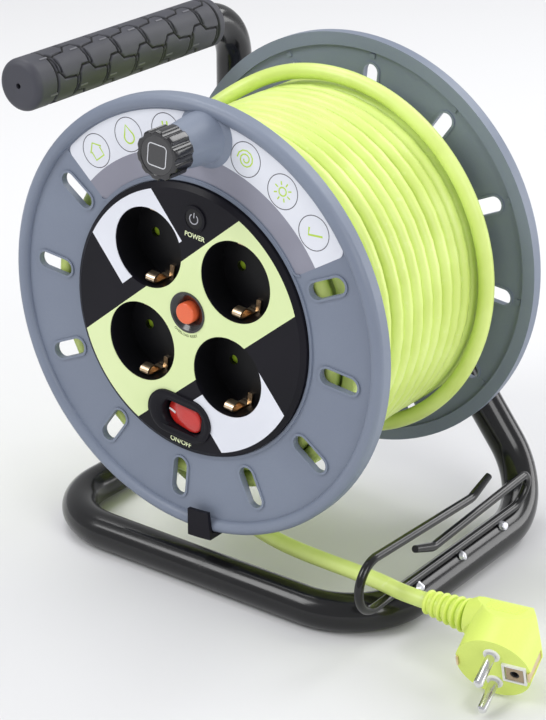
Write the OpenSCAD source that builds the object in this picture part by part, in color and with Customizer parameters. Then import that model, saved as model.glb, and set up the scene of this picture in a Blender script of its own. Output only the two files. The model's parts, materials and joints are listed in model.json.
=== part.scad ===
// Extension cord reel: a bent tube frame that carries a cable drum with four sockets.
// Millimetres. +Z is up, the drum's axis runs along Y and its front faces -Y.
// Most modules are drawn about the drum's axis, with y = 0 at the drum's front rim.

/* [Frame tube] */
// Outer diameter of the frame tube
tube_d = 20; // [17:0.5:24]
// Wall thickness of the frame tube
tube_wall = 1.5; // [1:0.1:2.5]
// Clear height under the flanges
ground_gap = 35; // [30:1:60]
// Distance between the two side bars, centre to centre
base_w = 212; // [200:1:236]
// How far the drum's axis lies to the left of the frame's middle
hub_offset = 2; // [0:0.5:5]
// Centre of the front bar behind the drum's front rim
bar_front_y = 6; // [-6:1:12]
// Gap between the drum's rear rim and the upright tubes
rear_gap = 14; // [10:1:30]
// Centre-line radius of the bends in the base
base_bend_r = 40; // [30:1:50]
// Centre-line radius of the bend behind the grip
handle_bend_r = 25; // [22:1:34]
// Height of the handle above the drum's axis
handle_h = 103; // [95:1:125]

/* [Handle grip] */
// Outer diameter of the grip
grip_d = 27.4; // [26:0.2:32]
// Length of the grip's tread behind its closed end
grip_l = 145; // [110:1:146]
// Thickness of the grip's closed front end
grip_end_t = 7; // [5:0.5:12]
// Diameter of the small hole in the closed end
grip_hole_d = 3; // [2:0.5:6]

/* [Hub] */
// Diameter of the axle
axle_d = 16; // [14:0.5:18]
// Wall thickness of the hollow axle
axle_wall = 2; // [1.5:0.1:3]
// Outer diameter of the sleeve welded to the riser
hub_d = 30; // [26:1:36]
// Length of the sleeve behind the drum
hub_l = 36.7; // [30:0.1:40]
// Radial running clearance of the axle in the bushes
run_gap = 0.05; // [0.02:0.01:0.09]
// Wall thickness of the bushes
bush_wall = 2.45; // [2:0.05:3.5]
// Length of each bush inside the drum's sleeve
bush_l = 14; // [10:1:20]
// Thickness of the flanges on the bushes
bush_flange_t = 2; // [1.5:0.1:3]
// End play of the drum on the axle at each end
end_play = 0.3; // [0.2:0.05:0.6]

/* [Drum] */
// Outer diameter of both flanges
flange_d = 230; // [226:1:240]
// Width over both rims
drum_w = 150; // [140:1:160]
// Depth of the rim along the axis
rim_depth = 9; // [8:0.5:12]
// Radial width of the rim
rim_w = 7; // [5:0.5:9]
// Thickness of the flange webs
web_t = 3; // [2.5:0.1:4]
// How far each web lies inside the outer edge of its rim
web_setback = 3.5; // [3:0.1:5]
// Clear gap between the barrel and the sockets inside it
barrel_fit = 0.32; // [0.2:0.01:2]
// Wall thickness of the barrel
barrel_wall = 2.5; // [2:0.1:3]
// How far the drum is turned clockwise from upright
drum_turn = 6; // [0:1:12]

/* [Flange slots] */
// Width of each slot
slot_w = 8.6; // [6:0.2:11]
// Length of each slot
slot_l = 22; // [16:0.5:26]
// Web left between the slots and the rim
slot_edge = 7.2; // [5:0.1:9]
// Width of the raised lip round a slot
slot_lip_w = 1.2; // [0.8:0.1:2]
// Height of the raised lip round a slot
slot_lip_h = 0.8; // [0.4:0.1:1.2]

/* [Crank] */
// Distance of the crank inside the rim
crank_edge = 10; // [8:0.5:13]
// Diameter of the boss where it meets the flange
boss_d = 27; // [24:0.5:28]
// Diameter of the boss at its outer end
boss_tip_d = 21.6; // [18:0.2:23]
// How far the boss stands out in front of the rim
boss_out = 20; // [14:0.5:30]
// Diameter of the knob
knob_d = 24.6; // [23.4:0.2:30]
// Length of the knob
knob_l = 13.6; // [12.5:0.1:18]
// Diameter of the knob's pin
knob_pin_d = 6; // [5:0.5:8]
// Count of flutes round the knob
knob_flutes = 10; // [6:1:14]

/* [Face] */
// How far the face plate laps over the barrel
face_lap = 4.8; // [3:0.1:6]
// How far the face plate stands out from the flange's web
face_out = 4.2; // [3.6:0.1:6]
// Thickness of the face plate
face_t = 2.5; // [2:0.1:3]
// Width of the bevel round the face plate
face_bevel = 2.6; // [1:0.1:4]
// Depth of the bevel round the face plate
face_bevel_t = 1.7; // [1:0.1:2]
// Thickness of the printed films
film_t = 0.4; // [0.2:0.05:0.6]
// Width of the diagonal green band
band_w = 52.7; // [46:0.1:56]
// Distance of the white panels from the middle of the band
panel_in = 34.4; // [32:0.2:38]
// Half length of the white panels along the band
panel_half = 25; // [22:0.2:28]

/* [Sockets] */
// Opening of each socket
socket_d = 42.2; // [41:0.1:43.2]
// Depth of each socket
socket_depth = 17.5; // [15:0.1:19]
// Wall thickness of the socket wells
socket_wall = 1.4; // [1.2:0.05:2]
// Thickness of the socket floors
socket_floor = 2.5; // [2:0.1:3]
// Distance between sockets across the face
socket_dx = 54.6; // [54:0.1:55.4]
// Distance between sockets up the face
socket_dz = 52; // [51.4:0.1:53]
// Height of the sockets' middle above the drum's axis
socket_up = 5.5; // [4.6:0.1:6]
// Diameter of the pin holes
pin_hole_d = 5.2; // [5:0.1:5.8]
// Distance between the pin holes of a socket
pin_pitch = 19; // [18.6:0.1:19.4]
// Travel of the shutters
shutter_travel = 5.5; // [5.2:0.1:6]

/* [Switch, reset and lamp] */
// Clear gap between the switch's body and the barrel
switch_fit = 0.23; // [0.2:0.01:0.6]
// Width of the switch bezel
switch_w = 40; // [36:0.5:41]
// Height of the switch bezel
switch_h = 24; // [22:0.5:24]
// Width of the rocker
rocker_w = 26; // [24:0.2:28]
// Height of the rocker
rocker_h = 14; // [12:0.2:15]
// Angle that the rocker turns each way from its middle
rocker_tilt = 12; // [8:0.5:14]
// Diameter of the reset bezel
reset_bezel_d = 21.4; // [18:0.2:23]
// Diameter of the reset button
reset_d = 11; // [9:0.2:12]
// Travel of the reset button
reset_travel = 2; // [1:0.1:2.2]
// Distance of the lamp inside the face plate's edge
lamp_inset = 15.8; // [15:0.1:17]
// Diameter of the lamp's ring
lamp_d = 13.6; // [11:0.2:14.2]

/* [Cable] */
// Diameter of the cable
cable_d = 8.4; // [8:0.1:8.6]
// Depth of the wound cable over the barrel
winding_depth = 26; // [24:0.1:27]
// Clear gap between turns of the winding
turn_gap = 0.45; // [0.45:0.05:0.8]
// Gap between the winding and the last turn of the free cord
lift_gap = 1.3; // [1.1:0.1:2]

/* [Cable hook] */
// Diameter of the hook's wire
hook_d = 4.8; // [4:0.2:6]
// Radius of the front loop, to the middle of the wire
hook_front_r = 14.2; // [13:0.1:16]
// Radius of the rear loop, to the middle of the wire
hook_rear_r = 5; // [4.5:0.1:6]
// Radius of the sweep that leads up into the rear loop
hook_sweep_r = 16; // [15:0.5:20]
// How far the front loop stands out in front of the front rim
hook_out = 7.2; // [5:0.1:9]
// Length of the hook's straight lower run
hook_run = 131; // [120:1:134]
// Length of the hook's upper and lower arms up to their bent tips
hook_arm = 88; // [80:1:92]
// Length of the arms' bent tips
hook_tip = 17; // [12:1:20]
// How far each arm slopes down along its length
hook_drop = 4.2; // [3:0.1:5]
// How far each tip is bent up
hook_tip_rise = 6; // [4:0.5:8]

/* [Plug] */
// Diameter of the plug's face
plug_d = 38; // [36:0.5:39]
// Depth of the plug from its back to its face
plug_depth = 34; // [30:0.5:38]
// Diameter of the plug's pins
plug_pin_d = 4.8; // [4:0.1:4.8]
// Length of the plug's pins
plug_pin_l = 19; // [16:0.5:19]
// Length of the ribbed strain relief
boot_l = 23; // [20:1:30]

/* [Hidden] */
$fn = 72;

slate = [0.46, 0.50, 0.56];
gloss_black = [0.08, 0.08, 0.09];
soft_black = [0.17, 0.17, 0.19];
lime = [0.76, 0.88, 0.28];
steel = [0.72, 0.73, 0.75];
brass = [0.72, 0.55, 0.3];

// Frame, measured from the drum's axis.
axis_h = flange_d / 2 + ground_gap;
tube_r = tube_d / 2;
bore_r = tube_r - tube_wall;
left_x = -(base_w / 2 - hub_offset);
right_x = base_w / 2 + hub_offset;
bar_z = tube_r - axis_h;
rear_y = drum_w + rear_gap + tube_r;
riser_len = norm([right_x, bar_z]);
riser_lean = atan2(right_x, -bar_z);
seam_drop = 60;
riser_seam = 20;
grip_r = grip_d / 2;
grip_end_y = rear_y - handle_bend_r;
grip_front_y = grip_end_y - grip_l - grip_end_t;

// Hub.
axle_r = axle_d / 2;
bush_bore_r = axle_r + run_gap;
bush_r = bush_bore_r + bush_wall;
bush_flange_r = bush_r + 3;
hub_front_y = drum_w + bush_flange_t + end_play;
hub_rear_y = hub_front_y + hub_l;
hub_cap_t = 3;
hub_cap_plug = 8;
sleeve_wall = 3.5;
sleeve_l = 80;
sleeve_front_y = drum_w - sleeve_l;
washer_t = 1.5;
washer_y = sleeve_front_y - bush_flange_t - end_play - washer_t;
ring_t = 1.2;
ring_y = washer_y - ring_t;
ring_depth = 0.8;
axle_front_y = ring_y - 3;

// Drum.
flange_r = flange_d / 2;
rim_in_r = flange_r - rim_w;
barrel_in_r = norm([socket_dx / 2, socket_up + socket_dz / 2]) + socket_d / 2 + socket_wall + barrel_fit;
barrel_r = barrel_in_r + barrel_wall;
face_r = barrel_r + face_lap;
web_in_y = web_setback + web_t;
back_in_y = drum_w - web_in_y;
slot_r = rim_in_r - slot_edge - slot_l / 2;
crank_r = rim_in_r - crank_edge;
slot_angles = [for (k = [0:11]) 30 * k];
label_from = 37;
label_to = 143;
front_slot_angles = [for (a = slot_angles) if (a < label_from - 4 || a > label_to + 4) a];
label_face_gap = 3;
label_rim_gap = 0.8;
label_white_w = 20;
label_in_r = face_r + label_face_gap;
label_out_r = rim_in_r - label_rim_gap;
label_mid_r = label_out_r - label_white_w;
boss_root = 2.5;
label_hole_r = boss_d / 2 + boss_root;
screw_r = 2;
screw_head_r = 3.6;
screw_inset = 3.8;
plate_screw_inset = 1.5;
screw_bite = 13;
flange_screw_r = barrel_in_r - screw_inset;
flange_screw_angles = [20, -20, 160, 200];
rear_screw_angles = [45, 135, 225, 315];
post_r = 4.2;
plate_screw_x = barrel_in_r - plate_screw_inset;
tab_half = 8;

// Face.
face_y = web_setback - face_out;
face_back_y = face_y + face_t;
screw_head_gap = 0.3;
screw_head_t = min(1.8, web_setback - face_back_y - screw_head_gap);
face_skirt = 2.4;
film_inset = 0.2;
film_r = face_r - face_bevel - film_inset;
screw_plug_r = 4;
well_r = socket_d / 2;
well_out_r = well_r + socket_wall;
floor_y = face_y + socket_depth;
floor_back_y = floor_y + socket_floor;
socket_places = [for (z = [1, -1], x = [-1, 1]) [x * socket_dx / 2, socket_up + z * socket_dz / 2]];
pin_hole_r = pin_hole_d / 2;

// Contacts behind the sockets.
shutter_t = 1.5;
shutter_gap = 0.2;
shutter_half = 14;
carrier_y = floor_back_y + shutter_t + 2 * shutter_gap + 0.1;
carrier_t = 2.5;
carrier_half = 50;
carrier_top = 56.2;
carrier_bottom = 48;
carrier_r = barrel_in_r - 1.5;
cover_y = 43;
cover_t = 2.5;
cover_wall = 1.6;
rail_y = 36;
rail_t = 1;
rail_half = 2;
earth_rail_y = 40;
strip_half = 2.5;
strip_t = 1;
strip_z = well_r - 0.4 - strip_t / 2;
earth_nose_r = 1.8;
tulip_r = 3.3;
rail_over = 12;

// Switch, reset button and lamp.
bezel_out = 1.1;
rocker_gap = 0.3;
pivot_y = 1;
rocker_arc_r = 14.3 * rocker_w / 26;
rocker_mid_y = face_y - 0.7;
switch_back_y = 19.5;
switch_wall_x = 1.2;
switch_wall_z = 1.7;
switch_body_w = 2 * (rocker_arc_r + rocker_gap + switch_wall_x);
switch_body_h = rocker_h + 2 * (rocker_gap + switch_wall_z);
switch_down = sqrt(pow(barrel_in_r - switch_fit, 2) - pow(switch_body_w / 2, 2)) - switch_body_h / 2;
lamp_up = face_r - lamp_inset;
pivot_r = 1.4;
cutout_half_x = 8.5;
cutout_half_z = 13;
cutout_y = 4.5;
cutout_back_y = 38;
reset_r = reset_d / 2;
reset_out = 2.7;
reset_stem_r = 2.5;
lamp_r = lamp_d / 2;
lamp_lens_r = lamp_r - 1.5;

// Cable winding: one helix over a plain core.
cable_r = cable_d / 2;
winding_r = barrel_r + winding_depth;
helix_r = winding_r - cable_r;
pitch = cable_d + turn_gap;
helix_front_y = web_in_y + 0.4 + cable_r;
helix_back_y = back_in_y - slot_lip_h - 0.4 - cable_r;
helix_turns = (helix_back_y - helix_front_y) / pitch;
helix_steps_per_turn = 24;
helix_steps = floor(helix_turns * helix_steps_per_turn);
core_r = helix_r * cos(180 / helix_steps_per_turn) - cable_r - 0.2;
function helix_point(i) =
    let (a = -70 - 360 * i / helix_steps_per_turn)
    [helix_r * cos(a), helix_back_y - pitch * i / helix_steps_per_turn, helix_r * sin(a)];
function unit(v) = v / norm(v);
helix_mid = [for (i = [0:helix_steps]) helix_point(i)];
helix_path = concat(
    [helix_mid[0] + cable_d * unit(helix_mid[0] - helix_mid[1])],
    helix_mid,
    [helix_mid[helix_steps] + cable_d * unit(helix_mid[helix_steps] - helix_mid[helix_steps - 1])]);
self_gap = min([for (i = [0:helix_steps - helix_steps_per_turn - 2])
    for (j = [-2:2]) norm(helix_mid[i] - helix_mid[i + helix_steps_per_turn + j])]) - cable_d;
echo("least gap of the winding to itself", self_gap);

// Free cord: its last turn lies over the winding, then it runs to the plug.
lift_r = winding_r + lift_gap + cable_r;
turn_step = 10;
turn_from = -72;
turn_to = 245;
turn_front_y = 25;
turn_back_y = 121;
function ease(t) = 0.5 * t + 0.5 * t * t * (3 - 2 * t);
function turn_point(a) =
    let (t = max(0, min(1, (225 - a) / 110)))
    [lift_r * cos(a), turn_front_y + (turn_back_y - turn_front_y) * ease(t), lift_r * sin(a)];
turn_points = [for (a = [turn_from:turn_step:turn_to]) turn_point(a)];
free_points = [
    [-24, 25, -98], [-8, 25, -105.5], [8, 25, -112.5], [22, 25, -118], [37, 25, -121.5],
    [53, 25, -123], [69, 24, -122.8], [86, 22.5, -122], [103, 20.2, -121],
    [119, 17.8, -120.8], [134, 17.6, -120.8]
];
cord_path = concat(turn_points, free_points);
cord_end = free_points[len(free_points) - 1];

// Plug, drawn from the end of the cord along +X.
plug_r = plug_d / 2;
plug_pin_r = plug_pin_d / 2;
plug_shank_r = plug_pin_r - 0.4;
neck_l = 5;
plug_mid_x = neck_l + plug_r - 1;
plug_back = 7;
plug_face_y = plug_back - plug_depth;
plug_disc_t = 14;
plug_ridge_half = 8.5;
plug_ridge_end = 9;
plug_earth_x = 11;
plug_earth_w = 8.6;
plug_tilt = 20;
plug_yaw = 11;
rib_count = 6;
rib_t = 2.2;

// Cable hook: one wire in an upright plane, welded along the right side bar.
hook_r = hook_d / 2;
hook_x = right_x + 2;
hook_z = bar_z + sqrt(pow(tube_r + hook_r, 2) - pow(hook_x - right_x, 2));
hook_start_y = hook_front_r - hook_out;
hook_back_y = hook_start_y + hook_run;
hook_weld_ys = [for (share = [0.27, 0.58, 0.89]) hook_start_y + share * hook_run];
hook_sweep_end = 330;
hook_lean = hook_sweep_r - hook_rear_r;
hook_rear_y = hook_back_y + hook_lean * cos(hook_sweep_end);
hook_rear_z = hook_z + hook_sweep_r + hook_lean * sin(hook_sweep_end);
function hook_arc(y, z, r, from, to) =
    [for (a = [from:15:to]) [hook_x, y + r * cos(a), z + r * sin(a)]];
// An arm's bent tip, its kink and its far end, from the top of a loop; dir is +1 towards the back.
function hook_arm_points(y, z, dir) = [
    [hook_x, y + dir * (hook_arm + hook_tip), z - hook_drop + hook_tip_rise],
    [hook_x, y + dir * (hook_arm + 1.5), z - hook_drop + 0.4],
    [hook_x, y + dir * (hook_arm - 2.5), z - hook_drop + 0.1]];
function backwards(list) = [for (i = [len(list) - 1:-1:0]) list[i]];
hook_path = concat(
    hook_arm_points(hook_start_y, hook_z + 2 * hook_front_r, 1),
    hook_arc(hook_start_y, hook_z + hook_front_r, hook_front_r, 93, 268),
    [[hook_x, hook_start_y + 2, hook_z], [hook_x, hook_back_y - 2, hook_z]],
    hook_arc(hook_back_y, hook_z + hook_sweep_r, hook_sweep_r, 279, 325),
    hook_arc(hook_rear_y, hook_rear_z, hook_rear_r, 335, 454),
    backwards(hook_arm_points(hook_rear_y, hook_rear_z + hook_rear_r, -1)));

// The part's origin is the middle of its footprint box, on the ground.
box_left = -max(grip_r - left_x, flange_r);
box_right = right_x + tube_r;
box_front = -boss_out - knob_l;
box_rear = hub_rear_y + hub_cap_t;
shift_x = -(box_left + box_right) / 2;
shift_y = -(box_front + box_rear) / 2;

// Shared helpers ------------------------------------------------------------

// From the drum's axis to the part's own origin.
module place() {
    translate([shift_x, shift_y, axis_h]) children();
}

// The same, turned with the drum.
module on_drum() {
    place() rotate([0, drum_turn, 0]) children();
}

// A profile of (radius, y) spun about the Y axis.
module lathe() {
    rotate([-90, 0, 0]) rotate_extrude() children();
}

// A shape of (x, z) made solid from y0 to y1.
module slab(y0, y1) {
    translate([0, y1, 0]) rotate([90, 0, 0]) linear_extrude(y1 - y0) children();
}

// A round bar along Y.
module rod(y0, y1, r) {
    translate([0, y0, 0]) rotate([-90, 0, 0]) cylinder(h = y1 - y0, r = r);
}

// A bar of round section that runs along +Y and bends as its steps say.
// A step is [straight length, bend radius, bend angle, roll before the bend].
module bent_bar(steps, r, over = 0, i = 0) {
    step = steps[i];
    last = i == len(steps) - 1;
    head = i == 0 ? over : 0;
    tail = last ? over : 0;
    rod(-head, step[0] + tail, r);
    if (!last) {
        translate([0, step[0], 0]) rotate([0, step[3], 0]) {
            translate([0, 0, step[1]]) rotate([0, 90, 0])
                rotate_extrude(angle = step[2]) translate([step[1], 0]) circle(r);
            translate([0, 0, step[1]]) rotate([step[2], 0, 0]) translate([0, 0, -step[1]])
                bent_bar(steps, r, over, i + 1);
        }
    }
}

module bent_tube(steps) {
    difference() {
        bent_bar(steps, tube_r);
        bent_bar(steps, bore_r, 1);
    }
}

// A tube of few sides swept along points that never run along the axis given.
module swept(path, r, sides, axis = [0, 1, 0]) {
    n = len(path);
    function along(i) = unit(path[min(i + 1, n - 1)] - path[max(i - 1, 0)]);
    function ring(i) =
        let (t = along(i), a = unit(cross(t, axis)), b = cross(t, a))
        [for (k = [0:sides - 1]) path[i] + r * (cos(360 * k / sides) * a + sin(360 * k / sides) * b)];
    points = [for (i = [0:n - 1]) each ring(i)];
    sides_faces = [for (i = [0:n - 2], k = [0:sides - 1])
        let (p = i * sides + k, q = i * sides + (k + 1) % sides)
        each [[p, q + sides, q], [p, p + sides, q + sides]]];
    caps = [for (k = [1:sides - 2]) each [
        [0, k, k + 1],
        [(n - 1) * sides, (n - 1) * sides + k + 1, (n - 1) * sides + k]]];
    polyhedron(points = points, faces = concat(sides_faces, caps));
}

module obround(l, w) {
    square([l - w, w], center = true);
    for (s = [-1, 1]) translate([s * (l - w) / 2, 0]) circle(w / 2);
}

module ring2d(r_in, r_out) {
    difference() {
        circle(r_out);
        circle(r_in);
    }
}

module wedge2d(from, to) {
    far = flange_d;
    mid = (from + to) / 2;
    polygon([[0, 0], far * [cos(from), sin(from)], far * [cos(mid), sin(mid)], far * [cos(to), sin(to)]]);
}

module at_angles(angles, r) {
    for (a = angles) rotate(a) translate([r, 0]) children();
}

module at_sockets(list) {
    for (p = list) translate([p[0], 0, p[1]]) children();
}

module at_reset() {
    translate([0, 0, socket_up]) children();
}

// Frame ---------------------------------------------------------------------

// The base loop: down the left rear, round the front and along the right side.
module base_tube() {
    upright = -bar_z - base_bend_r - seam_drop;
    side = rear_y - bar_front_y - 2 * base_bend_r;
    steps = [
        [upright, base_bend_r, 90, 0],
        [side, base_bend_r, 90, -90],
        [base_w - 2 * base_bend_r, base_bend_r, 90, 0],
        [side - riser_seam, 0, 0, 0]
    ];
    color(gloss_black) place() translate([left_x, rear_y, -seam_drop])
        rotate([0, 0, 180]) rotate([-90, 0, 0]) bent_tube(steps);
}

// The handle: through the grip, round the bend and down behind the drum.
module handle_tube() {
    steps = [
        [grip_end_y - grip_front_y - grip_end_t, handle_bend_r, 90, 180],
        [handle_h - handle_bend_r + seam_drop, 0, 0, 0]
    ];
    color(gloss_black) place() translate([left_x, grip_front_y + grip_end_t, handle_h]) bent_tube(steps);
}

// The riser: on from the right side of the base, round the bend and up to the hub sleeve.
module riser_tube() {
    steps = [
        [riser_seam, base_bend_r, 90, 0],
        [riser_len - base_bend_r, 0, 0, 0]
    ];
    color(gloss_black) place() difference() {
        translate([right_x, rear_y - base_bend_r - riser_seam, bar_z])
            rotate([0, -riser_lean, 0]) bent_tube(steps);
        rod(hub_front_y, hub_rear_y, hub_d / 2);
    }
}

module handle_grip() {
    edge = 4;
    collar = 5;
    color(soft_black) place() translate([left_x, grip_front_y, handle_h]) lathe() difference() {
        union() {
            translate([0, edge]) square([grip_r, grip_l + grip_end_t - edge]);
            square([grip_r - edge, edge]);
            translate([grip_r - edge, edge]) circle(edge);
        }
        translate([0, grip_end_t]) square([tube_r, grip_l + 1]);
        translate([0, -1]) square([grip_hole_d / 2, grip_end_t + 2]);
        translate([grip_r - 0.6, 2 * edge + collar]) square([1, 1.2]);
        translate([grip_r - 0.6, grip_l + grip_end_t - collar]) square([1, 1.2]);
    }
}

module hub_sleeve() {
    color(gloss_black) place() difference() {
        union() {
            rod(hub_front_y, hub_rear_y, hub_d / 2);
            rod(hub_front_y, hub_front_y + 3, hub_d / 2 + 4);
        }
        rod(hub_front_y - 1, hub_rear_y + 1, axle_r);
        rotate([0, 90, 0]) translate([0, hub_rear_y - 6, 0]) cylinder(h = hub_d, r = 2.5);
    }
}

module hub_screw() {
    color(steel) place() translate([0, hub_rear_y - 6, 0]) rotate([0, 90, 0]) {
        translate([0, 0, axle_r]) cylinder(h = hub_d / 2 - axle_r, r = 2.5);
        translate([0, 0, hub_d / 2]) cylinder(h = 3, r = 4.5);
    }
}

module axle() {
    color(steel) place() difference() {
        rod(axle_front_y, hub_rear_y, axle_r);
        rod(axle_front_y - 1, hub_rear_y + 1, axle_r - axle_wall);
        lathe() translate([axle_r - ring_depth, ring_y]) square([2, ring_t]);
    }
}

module hub_cap() {
    color(soft_black) place() {
        rod(hub_rear_y, hub_rear_y + hub_cap_t, hub_d / 2);
        rod(hub_rear_y - hub_cap_plug, hub_rear_y, axle_r - axle_wall);
    }
}

module thrust_washer() {
    color(steel) place() lathe() translate([bush_bore_r + 0.1, washer_y])
        square([bush_flange_r - bush_bore_r - 0.1, washer_t]);
}

module retaining_ring() {
    color(soft_black) place() lathe() translate([axle_r - ring_depth, ring_y])
        square([ring_depth + 2.5, ring_t]);
}

// The cable hook: one wire, looped at both ends, welded along the side bar.
module cable_hook() {
    color(gloss_black) place() swept(hook_path, hook_r, 10, [1, 0, 0]);
}

module hook_welds() {
    lean = 31;
    color([0.85, 0.86, 0.88]) place() for (y = hook_weld_ys)
        translate([right_x + tube_r * sin(lean), y, bar_z + tube_r * cos(lean)]) sphere(3);
}

// Free cord and plug --------------------------------------------------------

module free_cord() {
    color(lime) place() swept(cord_path, cable_r, 10);
}

// From the cord's end, along the cord.
module at_boot() {
    place() translate(cord_end) rotate([0, 90, 0]) children();
}

// The plug's own frame: its neck at the origin, its pins along -Y.
module at_plug() {
    place() translate(cord_end + [boot_l, 0, 0]) rotate([plug_tilt, 0, plug_yaw]) children();
}

module plug_boot() {
    core_from = cable_r + 0.9;
    core_to = cable_r + 2.4;
    rib_step = (boot_l - rib_t) / (rib_count - 1);
    color(lime) at_boot() {
        cylinder(h = boot_l, r1 = core_from, r2 = core_to);
        for (i = [0:rib_count - 1])
            translate([0, 0, i * rib_step]) cylinder(h = rib_t, r = 6.3 + i * 0.4);
    }
}

// The plug's outline: a round disc at the face, then flats that narrow to a ridge along the cord.
module plug_outline() {
    disc_back_y = plug_face_y + plug_disc_t;
    beyond = plug_r + 1;
    far_x = plug_mid_x + beyond;
    intersection() {
        translate([-beyond, 0, 0]) rotate([90, 0, 90]) linear_extrude(far_x + beyond) polygon([
            [plug_face_y, -beyond], [disc_back_y, -beyond], [plug_back, -plug_ridge_half],
            [plug_back, plug_ridge_half], [disc_back_y, beyond], [plug_face_y, beyond]
        ]);
        translate([0, 0, -beyond]) linear_extrude(2 * beyond) polygon([
            [-beyond, plug_face_y], [far_x, plug_face_y], [far_x, disc_back_y],
            [plug_mid_x + plug_ridge_end, plug_back], [-beyond, plug_back]
        ]);
    }
}

module plug_body() {
    neck_r = 8.4;
    color(lime) at_plug() difference() {
        intersection() {
            union() {
                translate([plug_mid_x, 0, 0]) rod(plug_face_y, plug_back, plug_r);
                intersection() {
                    translate([0, plug_back - 2 * neck_r + 0.6, -plug_r + 6])
                        cube([plug_mid_x, 2 * neck_r - 1.2, 2 * plug_r - 12]);
                    rotate([0, 90, 0]) cylinder(h = plug_mid_x, r1 = neck_r, r2 = plug_r + 2);
                }
            }
            plug_outline();
        }
        rotate([-plug_tilt, 0, 0]) rotate([0, 0, -plug_yaw]) rotate([0, -90, 0])
            cylinder(h = 12, r = 2 * neck_r);
        translate([plug_mid_x, 0, 0]) {
            for (s = [-1, 1]) {
                translate([0, 0, s * pin_pitch / 2]) rod(plug_face_y - 1, plug_face_y + 8, plug_shank_r);
                translate([s * (plug_r - 0.8), plug_face_y + 7, 0]) cube([1.7, 16, 6], center = true);
            }
            translate([plug_earth_x, plug_face_y + 4, 0])
                cube([plug_earth_w, 10, plug_earth_w], center = true);
        }
    }
}

module plug_pins() {
    color(steel) at_plug() for (s = [-1, 1])
        translate([plug_mid_x, plug_face_y, s * pin_pitch / 2]) {
            rod(1 - plug_pin_l, 0, plug_pin_r);
            rod(0, 8, plug_shank_r);
            translate([0, 1 - plug_pin_l, 0]) rotate([90, 0, 0])
                cylinder(h = 1, r1 = plug_pin_r, r2 = plug_pin_r - 0.8);
        }
}

module plug_earth_contacts() {
    color(brass) at_plug() for (s = [-1, 1])
        translate([plug_mid_x + s * (plug_r - 1.1), plug_face_y + 7, 0]) cube([1, 16, 6], center = true);
}

module plug_earth_socket() {
    color([0.93, 0.93, 0.9]) at_plug()
        translate([plug_mid_x + plug_earth_x, plug_face_y + 4, 0]) difference() {
        cube([plug_earth_w, 10, plug_earth_w], center = true);
        rod(-6, 4, 2.4);
    }
}

// Drum ----------------------------------------------------------------------

// The rounded rim, with its outer edge at y = 0.
module rim_profile() {
    round_r = rim_w / 2;
    translate([rim_in_r, round_r]) square([rim_w, rim_depth - round_r]);
    translate([rim_in_r + round_r, round_r]) circle(round_r);
}

module front_web() {
    difference() {
        circle(rim_in_r + 0.5);
        difference() {
            circle(barrel_in_r);
            for (s = [-1, 1]) translate([s * plate_screw_x, -1]) square([11, 2 * tab_half], center = true);
            at_angles(flange_screw_angles, flange_screw_r) circle(post_r + 2);
        }
        at_sockets2d() circle(well_out_r + 0.2);
    }
}

module at_sockets2d() {
    for (p = socket_places) translate(p) children();
}

module label2d(r_in, r_out) {
    difference() {
        intersection() {
            ring2d(r_in, r_out);
            wedge2d(label_from, label_to);
        }
        translate([0, crank_r]) circle(label_hole_r);
    }
}

module front_flange() {
    boss_h = web_setback + boss_out;
    color(slate) on_drum() difference() {
        union() {
            lathe() rim_profile();
            slab(web_setback, web_in_y) front_web();
            slab(web_setback - slot_lip_h, web_setback)
                at_angles(front_slot_angles, slot_r)
                    obround(slot_l + 2 * slot_lip_w, slot_w + 2 * slot_lip_w);
            lathe() translate([face_r + 0.6, web_setback - 1]) square([1.4, 1]);
            translate([0, web_setback, crank_r]) rotate([90, 0, 0]) {
                cylinder(h = boss_h, r1 = boss_d / 2, r2 = boss_tip_d / 2);
                cylinder(h = boss_root, r1 = label_hole_r, r2 = boss_d / 2 - 0.3);
            }
        }
        slab(web_setback - 2, web_in_y + 1) at_angles(front_slot_angles, slot_r) obround(slot_l, slot_w);
        slab(web_setback - 1, web_setback + film_t) label2d(label_in_r, label_out_r);
        translate([0, -boss_out, crank_r]) rod(-1, boss_h - 1, knob_pin_d / 2);
        for (s = [-1, 1]) translate([s * plate_screw_x, 0, -1]) rod(0, web_in_y + 1, screw_r);
        slab(0, web_in_y + 1) at_angles(flange_screw_angles, flange_screw_r) circle(screw_r);
    }
}

// Radial ribs, one at every step of angle.
module ribs(step, first, r_in, r_out) {
    for (a = [first:step:359]) rotate(a) translate([r_in, -rib_w / 2]) square([r_out - r_in, rib_w]);
}
rib_w = 2.4;

module rear_flange() {
    rib_back_y = drum_w - 0.5;
    web_out_y = drum_w - web_setback;
    color(slate) on_drum() difference() {
        union() {
            translate([0, drum_w, 0]) mirror([0, 1, 0]) lathe() rim_profile();
            slab(back_in_y, web_out_y) circle(rim_in_r + 0.5);
            slab(back_in_y - slot_lip_h, back_in_y) {
                at_angles(slot_angles, slot_r) obround(slot_l + 2 * slot_lip_w, slot_w + 2 * slot_lip_w);
                at_angles(slot_angles, slot_r + slot_l / 2 + 4.6) square([2.4, 3], center = true);
            }
            lathe() translate([barrel_in_r + 2, web_out_y]) square([rib_w, rib_back_y - web_out_y]);
            slab(web_out_y, rib_back_y) {
                ribs(60, 0, bush_r + sleeve_wall - 1, barrel_in_r + 3);
                ribs(30, 15, barrel_in_r + 3, rim_in_r + 1);
            }
            rod(sleeve_front_y, drum_w, bush_r + sleeve_wall);
        }
        slab(back_in_y - 2, drum_w + 1) at_angles(slot_angles, slot_r) obround(slot_l, slot_w);
        rod(sleeve_front_y - 1, drum_w + 1, bush_r);
        slab(back_in_y - 1, drum_w + 1) at_angles(rear_screw_angles, flange_screw_r) circle(screw_r);
    }
}

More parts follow.
